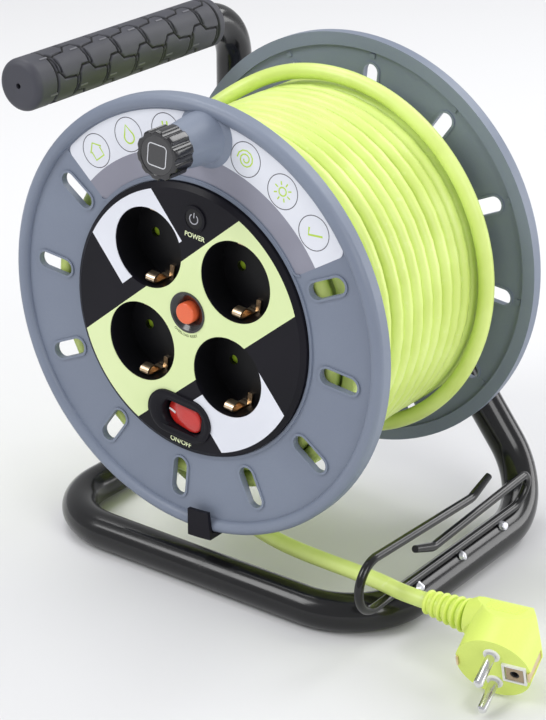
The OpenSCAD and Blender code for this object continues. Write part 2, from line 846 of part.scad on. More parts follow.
module barrel() {
    color(slate) on_drum() difference() {
        union() {
            slab(web_in_y, back_in_y) ring2d(barrel_in_r, barrel_r);
            intersection() {
                union() {
                    slab(web_in_y, web_in_y + 18) {
                        at_angles(flange_screw_angles, flange_screw_r) circle(post_r);
                        for (s = [-1, 1]) translate([s * plate_screw_x, -1]) circle(post_r);
                    }
                    slab(back_in_y - 18, back_in_y) at_angles(rear_screw_angles, flange_screw_r)
                        circle(post_r);
                }
                rod(0, drum_w, barrel_r - 0.5);
            }
        }
        slab(web_in_y - 1, web_in_y + 14) {
            at_angles(flange_screw_angles, flange_screw_r) circle(screw_r);
            for (s = [-1, 1]) translate([s * plate_screw_x, -1]) circle(screw_r);
        }
        slab(back_in_y - 14, back_in_y + 1) at_angles(rear_screw_angles, flange_screw_r) circle(screw_r);
        translate([-barrel_r - 1, inner_cord_y, 0]) rotate([0, 90, 0])
            cylinder(h = barrel_wall + 4, r = cable_r);
    }
}
inner_cord_y = back_in_y - 22;

module front_bush() {
    color(soft_black) on_drum() difference() {
        union() {
            rod(sleeve_front_y - bush_flange_t, sleeve_front_y, bush_flange_r);
            rod(sleeve_front_y, sleeve_front_y + bush_l, bush_r);
        }
        rod(sleeve_front_y - bush_flange_t - 1, sleeve_front_y + bush_l + 1, bush_bore_r);
    }
}

module rear_bush() {
    color(soft_black) on_drum() difference() {
        union() {
            rod(drum_w, drum_w + bush_flange_t, bush_flange_r);
            rod(drum_w - bush_l, drum_w, bush_r);
        }
        rod(drum_w - bush_l - 1, drum_w + bush_flange_t + 1, bush_bore_r);
    }
}

// Screws with their heads on a face at y, pointing along +Y or -Y.
module screw(y, length, dir) {
    translate([0, y, 0]) mirror([0, dir < 0 ? 1 : 0, 0]) {
        rod(-screw_head_t, 0, screw_head_r);
        rod(0, length, screw_r);
    }
}

module flange_screws() {
    color(steel) on_drum() for (a = flange_screw_angles)
        translate([flange_screw_r * cos(a), 0, flange_screw_r * sin(a)])
            screw(web_setback, web_t + screw_bite, 1);
}

module rear_screws() {
    color(steel) on_drum() for (a = rear_screw_angles)
        translate([flange_screw_r * cos(a), 0, flange_screw_r * sin(a)])
            screw(drum_w - web_setback, web_t + screw_bite, -1);
}

module winding_core() {
    color(lime) on_drum() slab(web_in_y, back_in_y - slot_lip_h - 0.2) ring2d(barrel_r, core_r);
}

module winding() {
    color(lime) on_drum() swept(helix_path, cable_r, 6);
}

module rim_clip() {
    clip_t = 2.2;
    clip_angle = -80.6;
    leg_r = flange_r - 12;
    half = 3.6;
    color(gloss_black) on_drum() intersection() {
        lathe() difference() {
            translate([leg_r, -clip_t]) square([flange_r - leg_r + 3, rim_depth + 2 * clip_t]);
            square([flange_r, rim_depth]);
            translate([0, rim_depth - 1]) square([rim_in_r + 1, 5]);
        }
        slab(-clip_t - 1, rim_depth + clip_t + 1) wedge2d(clip_angle - half, clip_angle + half);
    }
}

module label_white() {
    color("white") on_drum() slab(web_setback, web_setback + film_t) label2d(label_mid_r, label_out_r);
}

module label_grey() {
    color([0.3, 0.31, 0.33]) on_drum()
        slab(web_setback, web_setback + film_t) label2d(label_in_r, label_mid_r);
}

// Face ----------------------------------------------------------------------

module green_band2d() {
    difference() {
        intersection() {
            circle(film_r);
            rotate(45) square([2 * face_r, band_w], center = true);
        }
        face_holes2d();
    }
}

module white_panels2d() {
    difference() {
        intersection() {
            circle(film_r);
            for (s = [1, -1]) rotate(135) translate([s * (panel_in + face_r / 2), 0])
                square([face_r, 2 * panel_half], center = true);
        }
        face_holes2d();
    }
}

// Everything that opens the face plate, seen from the front.
module face_holes2d() {
    at_sockets2d() circle(well_r);
    translate([0, socket_up]) circle(reset_bezel_d / 2);
    translate([0, -switch_down]) obround(switch_w, switch_h);
    translate([0, lamp_up]) circle(lamp_r);
}

module face_plate() {
    color(gloss_black) on_drum() difference() {
        union() {
            lathe() polygon([
                [0, face_y], [face_r - face_bevel, face_y], [face_r, face_y + face_bevel_t],
                [face_r, web_setback], [face_r - face_skirt, web_setback],
                [face_r - face_skirt, face_back_y], [0, face_back_y]
            ]);
            for (s = [-1, 1]) translate([s * plate_screw_x, 0, -1])
                rod(face_y, web_setback, screw_plug_r + 1.5);
        }
        slab(face_y - 1, face_back_y + 1) at_sockets2d() circle(well_r);
        at_reset() rod(face_y - 1, face_back_y + 1, reset_bezel_d / 2);
        slab(face_y - 1, face_back_y + 1) translate([0, -switch_down])
            square([switch_body_w, switch_body_h], center = true);
        translate([0, 0, lamp_up]) rod(face_y - 1, face_back_y + 1, lamp_r);
        slab(face_y - 1, face_y + film_t) {
            green_band2d();
            white_panels2d();
        }
        for (s = [-1, 1]) translate([s * plate_screw_x, 0, -1]) {
            rod(face_y - 1, face_y + 3, screw_plug_r);
            rod(face_y, web_setback + 1, screw_r);
        }
    }
}

module green_band() {
    color([0.86, 0.93, 0.66]) on_drum() slab(face_y, face_y + film_t) green_band2d();
}

module white_panels() {
    color([0.92, 0.93, 0.96]) on_drum() slab(face_y, face_y + film_t) white_panels2d();
}

module face_screws() {
    color(steel) on_drum() for (s = [-1, 1]) translate([s * plate_screw_x, 0, -1]) screw(face_y + 3, 16, 1);
}

module screw_plugs() {
    color(gloss_black) on_drum() for (s = [-1, 1])
        translate([s * plate_screw_x, 0, -1]) rod(face_y, face_y + 1.1, screw_plug_r);
}

module socket_well(p) {
    color(gloss_black) on_drum() at_sockets([p]) difference() {
        rod(face_back_y, floor_back_y, well_out_r);
        rod(face_y - 1, floor_y, well_r);
        for (s = [-1, 1]) {
            translate([s * pin_pitch / 2, 0, 0]) rod(floor_y - 1, floor_back_y + 1, pin_hole_r);
            translate([0, floor_y, s * strip_z]) cube([2 * strip_half, 10, strip_t], center = true);
        }
    }
}

module socket_1() {
    socket_well(socket_places[0]);
}

module socket_2() {
    socket_well(socket_places[1]);
}

module socket_3() {
    socket_well(socket_places[2]);
}

module socket_4() {
    socket_well(socket_places[3]);
}

module earth_contacts() {
    strip_l = earth_rail_y - face_y - 4;
    color(brass) on_drum() at_sockets(socket_places) for (s = [-1, 1]) {
        translate([-strip_half, face_y + 4, s * strip_z - strip_t / 2])
            cube([2 * strip_half, strip_l, strip_t]);
        translate([-strip_half, face_y + 8, s * (strip_z + strip_t / 2 - earth_nose_r)]) rotate([0, 90, 0])
            cylinder(h = 2 * strip_half, r = earth_nose_r);
    }
}

// A flat rail in the (x, z) plane from one corner to another.
module rail(a, b, y) {
    low = [min(a[0], b[0]) - rail_half, min(a[1], b[1]) - rail_half];
    high = [max(a[0], b[0]) + rail_half, max(a[1], b[1]) + rail_half];
    translate([low[0], y, low[1]]) cube([high[0] - low[0], rail_t, high[1] - low[1]]);
}

module earth_rail() {
    reach = socket_dz / 2 + strip_z;
    color(brass) on_drum() {
        for (s = [-1, 1])
            rail([s * socket_dx / 2, socket_up - reach],
                [s * socket_dx / 2, socket_up + reach], earth_rail_y);
        rail([-socket_dx / 2, socket_up], [socket_dx / 2, socket_up], earth_rail_y);
    }
}

// One pole: a sleeve behind each pin hole on one side, joined by a U-shaped rail.
module pole_rail(side) {
    xs = [for (s = [-1, 1]) s * socket_dx / 2 + side * pin_pitch / 2];
    top = socket_up + socket_dz / 2;
    low = socket_up - socket_dz / 2;
    end = side < 0 ? top + rail_over : low - rail_over;
    color(brass) on_drum() {
        for (x = xs) {
            rail([x, side < 0 ? low : end], [x, side < 0 ? end : top], rail_y);
            for (z = [low, top]) translate([x, 0, z]) difference() {
                rod(carrier_y + carrier_t, rail_y, tulip_r);
                rod(carrier_y, rail_y - 1, pin_hole_r - 0.1);
            }
        }
        rail([xs[0], end], [xs[1], end], rail_y);
    }
}

module pole_rails() {
    pole_rail(-1);
    pole_rail(1);
}

module carrier2d(inset) {
    intersection() {
        circle(carrier_r - inset);
        translate([inset - carrier_half, inset - carrier_bottom])
            square([2 * (carrier_half - inset), carrier_top + carrier_bottom - 2 * inset]);
    }
}

module contact_carrier() {
    guide_gap = 0.3;
    color(soft_black) on_drum() difference() {
        union() {
            slab(carrier_y, carrier_y + carrier_t) carrier2d(0);
            at_sockets(socket_places) for (s = [-1, 1])
                translate([s * (shutter_half + guide_gap + 0.6) - 0.6, 0, -10])
                    translate([0, carrier_y - shutter_t - shutter_gap, 0]) cube([1.2, shutter_t + shutter_gap, 21]);
        }
        at_sockets(socket_places) for (s = [-1, 1]) {
            translate([s * pin_pitch / 2, 0, 0]) rod(carrier_y - 1, carrier_y + carrier_t + 1, pin_hole_r);
            translate([0, carrier_y, s * strip_z]) cube([2 * strip_half, 10, strip_t], center = true);
        }
        at_reset() translate([-cutout_half_x, 0, -cutout_half_z])
            cube([2 * cutout_half_x, cutout_back_y, 2 * cutout_half_z]);
    }
}

module contact_cover() {
    from = carrier_y + carrier_t;
    color(soft_black) on_drum() difference() {
        slab(from, cover_y + cover_t) carrier2d(0);
        slab(from - 1, cover_y) carrier2d(cover_wall);
        translate([inner_cord_x, 0, 0]) rod(cover_y - 1, cover_y + cover_t + 1, cable_r);
    }
}
inner_cord_bend = 4 * cable_d;
inner_cord_x = -barrel_r + 5 + inner_cord_bend;

module cord_clamp() {
    color(soft_black) on_drum() difference() {
        translate([inner_cord_x - 12, cover_y + cover_t, -8]) cube([24, 10, 16]);
        translate([inner_cord_x, 0, 0]) rod(cover_y, cover_y + 20, cable_r);
    }
}

// The cable inside the drum: through the barrel, round a bend and into the cover.
module inner_cord() {
    steps = [
        [4.7, inner_cord_bend, 90, 90],
        [inner_cord_y - inner_cord_bend - cover_y, 0, 0, 0]
    ];
    color(lime) on_drum() translate([-barrel_r + 0.3, inner_cord_y, 0])
        rotate([0, 0, -90]) bent_bar(steps, cable_r);
}

module cutout_body() {
    color(soft_black) on_drum() at_reset() difference() {
        translate([-cutout_half_x, cutout_y, -cutout_half_z])
            cube([2 * cutout_half_x, cutout_back_y - cutout_y, 2 * cutout_half_z]);
        rod(cutout_y - 1, cutout_y + 8, reset_stem_r + 0.3);
    }
}

module reset_bezel() {
    out_r = reset_bezel_d / 2;
    in_r = reset_r + 0.4;
    color(gloss_black) on_drum() at_reset() lathe() polygon([
        [in_r, cutout_y], [in_r, 1.5], [out_r - 1.1, face_y - 0.4],
        [out_r, face_y - 0.4], [out_r, 1.5], [in_r + 1.5, cutout_y]
    ]);
}

module reset_button() {
    color([0.93, 0.3, 0.12]) on_drum() at_reset() {
        lathe() {
            translate([0, face_y - reset_out + 1])
                square([reset_r, cutout_y - reset_travel - 0.2 - face_y + reset_out - 1]);
            translate([0, face_y - reset_out]) square([reset_r - 1, 1.5]);
            translate([reset_r - 1, face_y - reset_out + 1]) circle(1);
        }
        rod(0, cutout_y + 3, reset_stem_r);
    }
}

module switch_housing() {
    pocket_x = rocker_arc_r + rocker_gap;
    pocket_z = rocker_h / 2 + rocker_gap;
    pocket_back = pivot_y + 5;
    color(gloss_black) on_drum() translate([0, 0, -switch_down]) difference() {
        union() {
            slab(face_y - bezel_out, face_y) obround(switch_w, switch_h);
            slab(face_y, switch_back_y - 8) square([switch_body_w, switch_body_h], center = true);
            translate([-13, 0, -5.5]) cube([26, switch_back_y, 12]);
        }
        translate([-pocket_x, face_y - 5, -pocket_z])
            cube([2 * pocket_x, pocket_back - face_y + 5, 2 * pocket_z]);
        translate([0, pivot_y, -rocker_h / 2 - 1.5]) cylinder(h = rocker_h + 3, r = pivot_r + 0.05);
    }
}

// The rocker, turned to the stop it rests at.
module rocker() {
    half = rocker_w / 2;
    rise = half * tan(rocker_tilt);
    color([0.8, 0.08, 0.07]) on_drum() translate([0, pivot_y, -switch_down]) rotate([0, 0, -rocker_tilt]) {
        intersection() {
            translate([0, 0, -rocker_h / 2]) linear_extrude(rocker_h) polygon([
                [-half, rocker_mid_y - rise - pivot_y], [0, rocker_mid_y - pivot_y],
                [half, rocker_mid_y - rise - pivot_y], [half, 0.5], [4, 4], [-4, 4], [-half, 0.5]
            ]);
            translate([0, 0, -rocker_h]) cylinder(h = 2 * rocker_h, r = rocker_arc_r);
        }
        translate([0, 0, -rocker_h / 2 - 1.2]) cylinder(h = rocker_h + 2.4, r = pivot_r);
    }
}

module lamp_ring() {
    color(gloss_black) on_drum() translate([0, 0, lamp_up]) {
        lathe() translate([lamp_lens_r, face_y - 0.8]) square([lamp_r - lamp_lens_r, 2.8 + face_t - 1.2]);
        rod(face_back_y, switch_back_y - 4, lamp_lens_r);
    }
}

module lamp_lens() {
    color([0.1, 0.1, 0.1]) on_drum() translate([0, 0, lamp_up]) rod(face_y - 0.5, face_back_y, lamp_lens_r);
}

// Crank ---------------------------------------------------------------------

knob_front_y = -boss_out - knob_l;
knob_gap = 0.3;
pin_head_y = knob_front_y + 3;
pin_head_t = 2;

module at_crank() {
    on_drum() translate([0, 0, crank_r]) children();
}

module crank_pin() {
    color(steel) at_crank() {
        rod(pin_head_y, web_setback - 1, knob_pin_d / 2);
        rod(pin_head_y, pin_head_y + pin_head_t, knob_pin_d / 2 + 2);
    }
}

module crank_knob() {
    knob_r = knob_d / 2;
    color(gloss_black) at_crank() difference() {
        rod(knob_front_y, -boss_out - knob_gap, knob_r);
        for (k = [0:knob_flutes - 1]) rotate([0, 360 * k / knob_flutes, 0])
            translate([knob_r + 1.2, 0, 0]) rod(knob_front_y - 1, -boss_out, 2.6);
        rod(knob_front_y - 1, knob_front_y + 1.2, knob_r - 2.8);
        rod(knob_front_y, pin_head_y + pin_head_t + 0.3, knob_pin_d / 2 + 2.3);
        rod(knob_front_y, -boss_out + 1, knob_pin_d / 2 + run_gap);
    }
}

module knob_badge() {
    color(soft_black) at_crank() rod(knob_front_y + 0.4, knob_front_y + 1.2, knob_d / 2 - 2.8);
}

// Shutters ------------------------------------------------------------------

module shutter(p) {
    color(lime) on_drum() at_sockets([p]) difference() {
        translate([-shutter_half, floor_back_y + shutter_gap, -9]) cube([2 * shutter_half, shutter_t, 13]);
        for (s = [-1, 1]) translate([s * pin_pitch / 2, 0, -shutter_travel])
            rod(floor_back_y, carrier_y, pin_hole_r + 0.1);
    }
}

module shutter_1() {
    shutter(socket_places[0]);
}

module shutter_2() {
    shutter(socket_places[1]);
}

module shutter_3() {
    shutter(socket_places[2]);
}

module shutter_4() {
    shutter(socket_places[3]);
}

base_tube();
handle_tube();
riser_tube();
handle_grip();
hub_sleeve();
hub_screw();
axle();
hub_cap();
thrust_washer();
retaining_ring();
cable_hook();
hook_welds();
free_cord();
plug_body();
plug_boot();
plug_pins();
plug_earth_contacts();
plug_earth_socket();
front_flange();
rear_flange();
barrel();
front_bush();
rear_bush();
flange_screws();
rear_screws();
winding_core();
winding();
rim_clip();
label_white();
label_grey();
face_plate();
green_band();
white_panels();
face_screws();
screw_plugs();
socket_1();
socket_2();
socket_3();
socket_4();
earth_contacts();
earth_rail();
pole_rails();
contact_carrier();
contact_cover();
cord_clamp();
inner_cord();
cutout_body();
reset_bezel();
reset_button();
switch_housing();
rocker();
lamp_ring();
lamp_lens();
crank_pin();
crank_knob();
knob_badge();
shutter_1();
shutter_2();
shutter_3();
shutter_4();
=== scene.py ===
"""Looks of the extension cord reel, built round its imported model.

Metres throughout. +Z is up, the drum's axis runs along Y and its front faces -Y.
Sizes are written in millimetres and turned into metres by place() and on_drum().
"""

import json
import logging
import math
from collections.abc import Callable, Sequence
from dataclasses import dataclass
from enum import Enum

import bmesh
import bpy
import numpy as np
from mathutils import Matrix, Vector

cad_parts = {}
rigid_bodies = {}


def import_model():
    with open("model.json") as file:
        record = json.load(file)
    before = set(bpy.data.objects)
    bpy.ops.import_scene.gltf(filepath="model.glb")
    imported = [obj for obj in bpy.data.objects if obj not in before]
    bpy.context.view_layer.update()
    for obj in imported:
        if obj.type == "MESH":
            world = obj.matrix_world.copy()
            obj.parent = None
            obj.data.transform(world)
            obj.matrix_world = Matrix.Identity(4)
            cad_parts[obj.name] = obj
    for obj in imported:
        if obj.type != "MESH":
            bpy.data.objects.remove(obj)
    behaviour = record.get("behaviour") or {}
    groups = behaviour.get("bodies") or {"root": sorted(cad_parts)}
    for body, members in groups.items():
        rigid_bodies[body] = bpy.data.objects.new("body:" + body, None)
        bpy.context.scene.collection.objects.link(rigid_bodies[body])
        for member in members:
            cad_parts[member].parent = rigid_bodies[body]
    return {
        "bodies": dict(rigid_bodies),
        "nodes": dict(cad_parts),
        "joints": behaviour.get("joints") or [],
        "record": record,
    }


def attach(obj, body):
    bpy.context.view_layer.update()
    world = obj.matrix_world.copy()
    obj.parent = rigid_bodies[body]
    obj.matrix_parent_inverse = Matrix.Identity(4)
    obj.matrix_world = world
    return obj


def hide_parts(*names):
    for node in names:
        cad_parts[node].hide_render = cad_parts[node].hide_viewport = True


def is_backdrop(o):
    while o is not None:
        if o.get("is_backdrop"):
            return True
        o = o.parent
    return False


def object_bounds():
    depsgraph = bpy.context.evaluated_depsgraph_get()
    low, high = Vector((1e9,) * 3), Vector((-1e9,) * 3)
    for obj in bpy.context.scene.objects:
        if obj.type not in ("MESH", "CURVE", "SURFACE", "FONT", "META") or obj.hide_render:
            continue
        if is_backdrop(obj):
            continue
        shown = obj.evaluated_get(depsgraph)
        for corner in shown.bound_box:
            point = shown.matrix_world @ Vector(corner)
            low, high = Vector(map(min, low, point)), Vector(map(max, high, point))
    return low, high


log = logging.getLogger("cord_reel")

MM = 0.001
AXIS_PLACE = Vector((-0.15, -79.2, 150.0))
DRUM_TURN = math.radians(6)
CREASE = math.radians(32)

Spot = tuple[float, float]
Colour = Place = tuple[float, float, float]
Path = list[Vector]
Faces = list[tuple[int, ...]]
MeshData = tuple[list[Vector], Faces]
Put = Callable[[float, float, float], Vector]


class Body(Enum):
    """The bodies that a piece can ride on."""

    FRAME = "frame"
    DRUM = "drum"
    KNOB = "knob"
    ROCKER = "rocker"


class Slot(Enum):
    """The record's material slots, one named with each new piece."""

    PAINT = "frame_paint"
    GRIP = "grip_plastic"
    STEEL = "steel"
    WELD = "weld"
    CABLE = "cable"
    PLUG = "plug_plastic"
    DRUM = "drum_plastic"
    BLACK = "black_plastic"
    WHITE_FILM = "film_white"
    GREY_FILM = "film_grey"
    GREEN_FILM = "film_green"
    ROCKER = "rocker_plastic"


# Places --------------------------------------------------------------------


def place(x: float, y: float, z: float) -> Vector:
    """A point in millimetres from the drum's axis, in the part's own metres."""
    return (Vector((x, y, z)) + AXIS_PLACE) * MM


def on_drum(x: float, y: float, z: float) -> Vector:
    """The same for a point that is turned with the drum."""
    c, s = math.cos(DRUM_TURN), math.sin(DRUM_TURN)
    return place(x * c + z * s, y, z * c - x * s)


def polar(radius: float, degrees: float) -> Spot:
    """The point of a plane at a radius and an angle."""
    a = math.radians(degrees)
    return radius * math.cos(a), radius * math.sin(a)


# Objects -------------------------------------------------------------------


def linked(name: str, data: bpy.types.ID) -> bpy.types.Object:
    """A new object in the scene."""
    thing = bpy.data.objects.new(name, data)
    bpy.context.scene.collection.objects.link(thing)
    return thing


def hardened(host: bpy.types.Object) -> bpy.types.Mesh:
    """The object's finished mesh, with the object itself taken away."""
    graph = bpy.context.evaluated_depsgraph_get()
    mesh = bpy.data.meshes.new_from_object(host.evaluated_get(graph), depsgraph=graph)
    bpy.data.objects.remove(host)
    return mesh


# Node trees ----------------------------------------------------------------


def _sign(operation: str, reflected: bool = False) -> Callable[["Channel", object], "Channel"]:
    """The method behind one arithmetic sign, or behind its reflection.

    Args:
        operation: The Math node's operation.
        reflected: Whether the channel is the second value.

    Returns:
        The method.
    """
    def apply(self: "Channel", other: object) -> "Channel":
        """Adds the Math node."""
        return self._math(operation, *((other, self) if reflected else (self, other)))
    return apply


class Channel:
    """A socket of a node tree that takes part in Python expressions."""

    def __init__(self, tree: bpy.types.NodeTree, socket: bpy.types.NodeSocket) -> None:
        """Keeps the tree and the output socket that holds the value."""
        self.tree = tree
        self.socket = socket

    def _math(self, operation: str, *values: object) -> "Channel":
        """A Math node's result, from numbers or channels in the order of its inputs."""
        return NodeBuilder(self.tree).add("ShaderNodeMath", {"operation": operation}, dict(enumerate(values)))

    __add__, __radd__ = _sign("ADD"), _sign("ADD", True)
    __sub__, __rsub__ = _sign("SUBTRACT"), _sign("SUBTRACT", True)
    __mul__, __rmul__ = _sign("MULTIPLY"), _sign("MULTIPLY", True)
    __truediv__, __rtruediv__ = _sign("DIVIDE"), _sign("DIVIDE", True)

    def sine(self) -> "Channel":
        """Sine."""
        return self._math("SINE", self)

    def cosine(self) -> "Channel":
        """Cosine."""
        return self._math("COSINE", self)

    def rise(self, low: float, high: float) -> "Channel":
        """A smooth step, from 0 at the low value to 1 at the high one."""
        return NodeBuilder(self.tree).add("ShaderNodeMapRange", {"interpolation_type": "SMOOTHSTEP"},
                                          {"Value": self, "From Min": low, "From Max": high})


class NodeBuilder:
    """Adds nodes of any type to a tree."""

    def __init__(self, tree: bpy.types.NodeTree) -> None:
        """Keeps the tree to build in."""
        self.tree = tree

    def add(self, kind: str, settings: dict[str, object] | None = None,
            inputs: dict[object, object] | None = None, output: int | str = 0) -> Channel:
        """Adds a node, sets its properties first and then its sockets.

        Args:
            kind: The node's type.
            settings: Its properties by name.
            inputs: Values or channels for its sockets, by name or number.
            output: The output socket to hand back.

        Returns:
            The chosen output.
        """
        node = self.tree.nodes.new(kind)
        for name, value in (settings or {}).items():
            setattr(node, name, value)
        for key, value in (inputs or {}).items():
            if isinstance(value, Channel):
                self.tree.links.new(value.socket, node.inputs[key])
            else:
                node.inputs[key].default_value = value
        return Channel(self.tree, node.outputs[output])


class Surface(NodeBuilder):
    """One material's node tree, with the texture sources that the finishes share."""

    def __init__(self, name: str) -> None:
        """Starts an empty material of that name."""
        self.material = bpy.data.materials.new(name)
        self.material.use_nodes = True
        self.material.node_tree.nodes.clear()
        super().__init__(self.material.node_tree)

    def place(self, scale: Colour = (1, 1, 1)) -> Channel:
        """Object coordinates, stretched by a scale along each axis."""
        coords = self.add("ShaderNodeTexCoord", output="Object")
        return self.add("ShaderNodeMapping", {"vector_type": "POINT"}, {"Vector": coords, "Scale": scale})

    def noise(self, scale: float, detail: float = 3, where: Channel | None = None) -> Channel:
        """A cloud from 0 to 1, by clouds per metre and octaves, at the object's own or other coordinates."""
        return self.add("ShaderNodeTexNoise", None,
                        {"Vector": where or self.place(), "Scale": scale, "Detail": detail})

    def attribute(self, name: str) -> Channel:
        """A number stored on the mesh."""
        return self.add("ShaderNodeAttribute", {"attribute_name": name}, output="Fac")

    def mix(self, factor: Channel | float, first: Colour | Channel, second: Colour | Channel) -> Channel:
        """Blends two colours, from the first at a factor of 0 to the second at 1."""
        full = [colour if isinstance(colour, Channel) else (*colour, 1) for colour in (first, second)]
        return self.add("ShaderNodeMix", {"data_type": "RGBA"}, {0: factor, 6: full[0], 7: full[1]}, 2)

    def bump(self, height: Channel, depth: float) -> Channel:
        """A normal from a height of 0 to 1, where 1 stands for the depth in metres."""
        return self.add("ShaderNodeBump", None, {"Height": height, "Distance": depth})

    def finish(self, **sockets: object) -> bpy.types.Material:
        """Closes the tree with a Principled shader.

        Args:
            sockets: Values or channels, by the socket's name with _ for a space.

        Returns:
            The material.
        """
        names = {("Specular IOR Level" if key == "Specular" else key.replace("_", " ")): value
                 for key, value in sockets.items()}
        shader = self.add("ShaderNodeBsdfPrincipled", None, names)
        end = self.tree.nodes.new("ShaderNodeOutputMaterial")
        self.tree.links.new(shader.socket, end.inputs["Surface"])
        return self.material


class GeometryTree(NodeBuilder):
    """A Geometry Nodes tree with named inputs for its sizes."""

    def __init__(self, name: str) -> None:
        """Starts a tree with one geometry output."""
        super().__init__(bpy.data.node_groups.new(name, "GeometryNodeTree"))
        face = self.tree.interface
        face.new_socket("Geometry", in_out="INPUT", socket_type="NodeSocketGeometry")
        face.new_socket("Geometry", in_out="OUTPUT", socket_type="NodeSocketGeometry")
        self.entry = self.tree.nodes.new("NodeGroupInput")
        self.exit = self.tree.nodes.new("NodeGroupOutput")

    def size(self, name: str, kind: str = "NodeSocketFloat") -> Channel:
        """Adds a named input and hands back its channel."""
        self.tree.interface.new_socket(name, in_out="INPUT", socket_type=kind)
        return Channel(self.tree, self.entry.outputs[name])

    def sizes(self, *names: str) -> list[Channel]:
        """Adds named inputs that are plain numbers."""
        return [self.size(name) for name in names]

    def count(self) -> Channel:
        """Adds the input that counts copies."""
        return self.size("Count", "NodeSocketInt")

    def circle(self, sides: int, radius: Channel) -> Channel:
        """A circle of a number of sides."""
        return self.add("GeometryNodeCurvePrimitiveCircle", {"mode": "RADIUS"},
                        {"Resolution": sides, "Radius": radius})

    def row(self, count: Channel, offset: object = (0, 0, 1)) -> Channel:
        """Points in a straight row."""
        return self.add("GeometryNodeMeshLine", {"mode": "OFFSET"}, {"Count": count, "Offset": offset})

    def vector(self, x: object, y: object, z: object) -> Channel:
        """Joins three numbers into a vector."""
        return self.add("ShaderNodeCombineXYZ", None, {0: x, 1: y, 2: z})

    def close(self, geometry: Channel) -> None:
        """Ends the tree in real faces that carry the finish."""
        finish = self.size("Finish", "NodeSocketMaterial")
        real = self.add("GeometryNodeRealizeInstances", None, {0: geometry})
        done = self.add("GeometryNodeSetMaterial", None, {"Geometry": real, "Material": finish})
        self.tree.links.new(done.socket, self.exit.inputs[0])

    def mesh(self, material: bpy.types.Material, **sizes: object) -> bpy.types.Mesh:
        """Runs the tree once with the sizes given.

        Args:
            material: What its faces carry.
            sizes: The inputs by name, with _ for a space.

        Returns:
            A plain mesh.
        """
        host = linked("host", bpy.data.meshes.new("host"))
        modifier = host.modifiers.new("tree", "NODES")
        modifier.node_group = self.tree
        values = {key.replace("_", " "): value for key, value in sizes.items()}
        values["Finish"] = material
        for item in self.tree.interface.items_tree:
            if item.in_out == "INPUT" and item.name in values:
                modifier[item.identifier] = values[item.name]
        return hardened(host)


# Finishes ------------------------------------------------------------------


@dataclass(frozen=True)
class Finish:
    """A named surface of one colour and its second shade."""

    name: str
    colour: Colour
    shade: Colour

    def sockets(self, s: Surface) -> dict[str, object]:
        """The shader's values and channels, which each kind of finish gives."""
        raise NotImplementedError

    def material(self) -> bpy.types.Material:
        """The material, made once."""
        if self.name in bpy.data.materials:
            return bpy.data.materials[self.name]
        surface = Surface(self.name)
        return surface.finish(**self.sockets(surface))


@dataclass(frozen=True)
class Plastic(Finish):
    """Moulded plastic: a fine grain, slightly uneven colour and handled gloss."""

    roughness: float = 0.42
    grain: float = 1800.0
    grain_depth: float = 0.00002
    clear_coat: float = 0.0
    glow_through: float = 0.0
    specular: float = 0.5

    def sockets(self, s: Surface) -> dict[str, object]:
        """The shader's values and channels."""
        flow = s.noise(14, 2)
        fine = s.noise(self.grain, 2)
        wear = s.noise(90, 4).rise(0.55, 0.8)
        colour = s.mix((flow * 0.8 + fine * 0.2).rise(0.3, 0.75), self.shade, self.colour)
        return dict(
            Base_Color=colour,
            Roughness=self.roughness + 0.07 * flow - 0.08 * wear,
            Normal=s.bump(fine, self.grain_depth),
            Coat_Weight=self.clear_coat,
            Coat_Roughness=0.12,
            Specular=self.specular,
            Subsurface_Weight=self.glow_through,
            Subsurface_Radius=(1.0, 0.35, 0.2),
            Subsurface_Scale=0.002,
        )


@dataclass(frozen=True)
class Lacquer(Finish):
    """Gloss stove enamel over steel tube, with a faint orange peel."""

    roughness: float = 0.2
    peel: float = 420.0
    peel_depth: float = 0.000018

    def sockets(self, s: Surface) -> dict[str, object]:
        """The shader's values and channels."""
        cloud = s.noise(35, 3)
        peel = s.noise(self.peel, 2)
        dust = s.noise(2600, 2).rise(0.7, 0.78)
        rub = s.noise(60, 5, s.place((1, 0.25, 1))).rise(0.5, 0.75)
        return dict(
            Base_Color=s.mix(dust * 0.35, s.mix(cloud, self.shade, self.colour), (0.08, 0.08, 0.09)),
            Roughness=self.roughness + 0.1 * rub + 0.12 * dust,
            Normal=s.bump(peel, self.peel_depth),
            Specular=0.35,
            Coat_Weight=0.25,
            Coat_Roughness=0.06,
        )


@dataclass(frozen=True)
class Metal(Finish):
    """Plated or bare metal with fine drawing lines."""

    roughness: float = 0.28
    lines: Colour = (1, 14, 1)
    line_scale: float = 260.0
    line_depth: float = 0.000012

    def sockets(self, s: Surface) -> dict[str, object]:
        """The shader's values and channels."""
        drawn = s.noise(self.line_scale, 3, s.place(self.lines))
        stain = s.noise(150, 3).rise(0.35, 0.8)
        return dict(
            Base_Color=s.mix(stain, self.colour, self.shade),
            Metallic=1.0,
            Roughness=self.roughness + 0.12 * stain + 0.08 * drawn,
            Normal=s.bump(drawn, self.line_depth),
        )


@dataclass(frozen=True)
class Jacket(Finish):
    """Extruded cable jacket: satin rubber with soft scuffs from winding."""

    scuff: Colour
    roughness: float = 0.36

    def sockets(self, s: Surface) -> dict[str, object]:
        """The shader's values and channels."""
        cloud = s.noise(30, 3).rise(0.3, 0.7)
        skin = s.noise(900, 3)
        scuffs = s.noise(240, 5).rise(0.62, 0.76)
        colour = s.mix(scuffs * 0.35, s.mix(cloud, self.shade, self.colour), self.scuff)
        return dict(
            Base_Color=colour,
            Roughness=self.roughness + 0.06 * skin + 0.16 * scuffs,
            Normal=s.bump(skin, 0.00003),
            Coat_Weight=0.12,
            Coat_Roughness=0.25,
        )


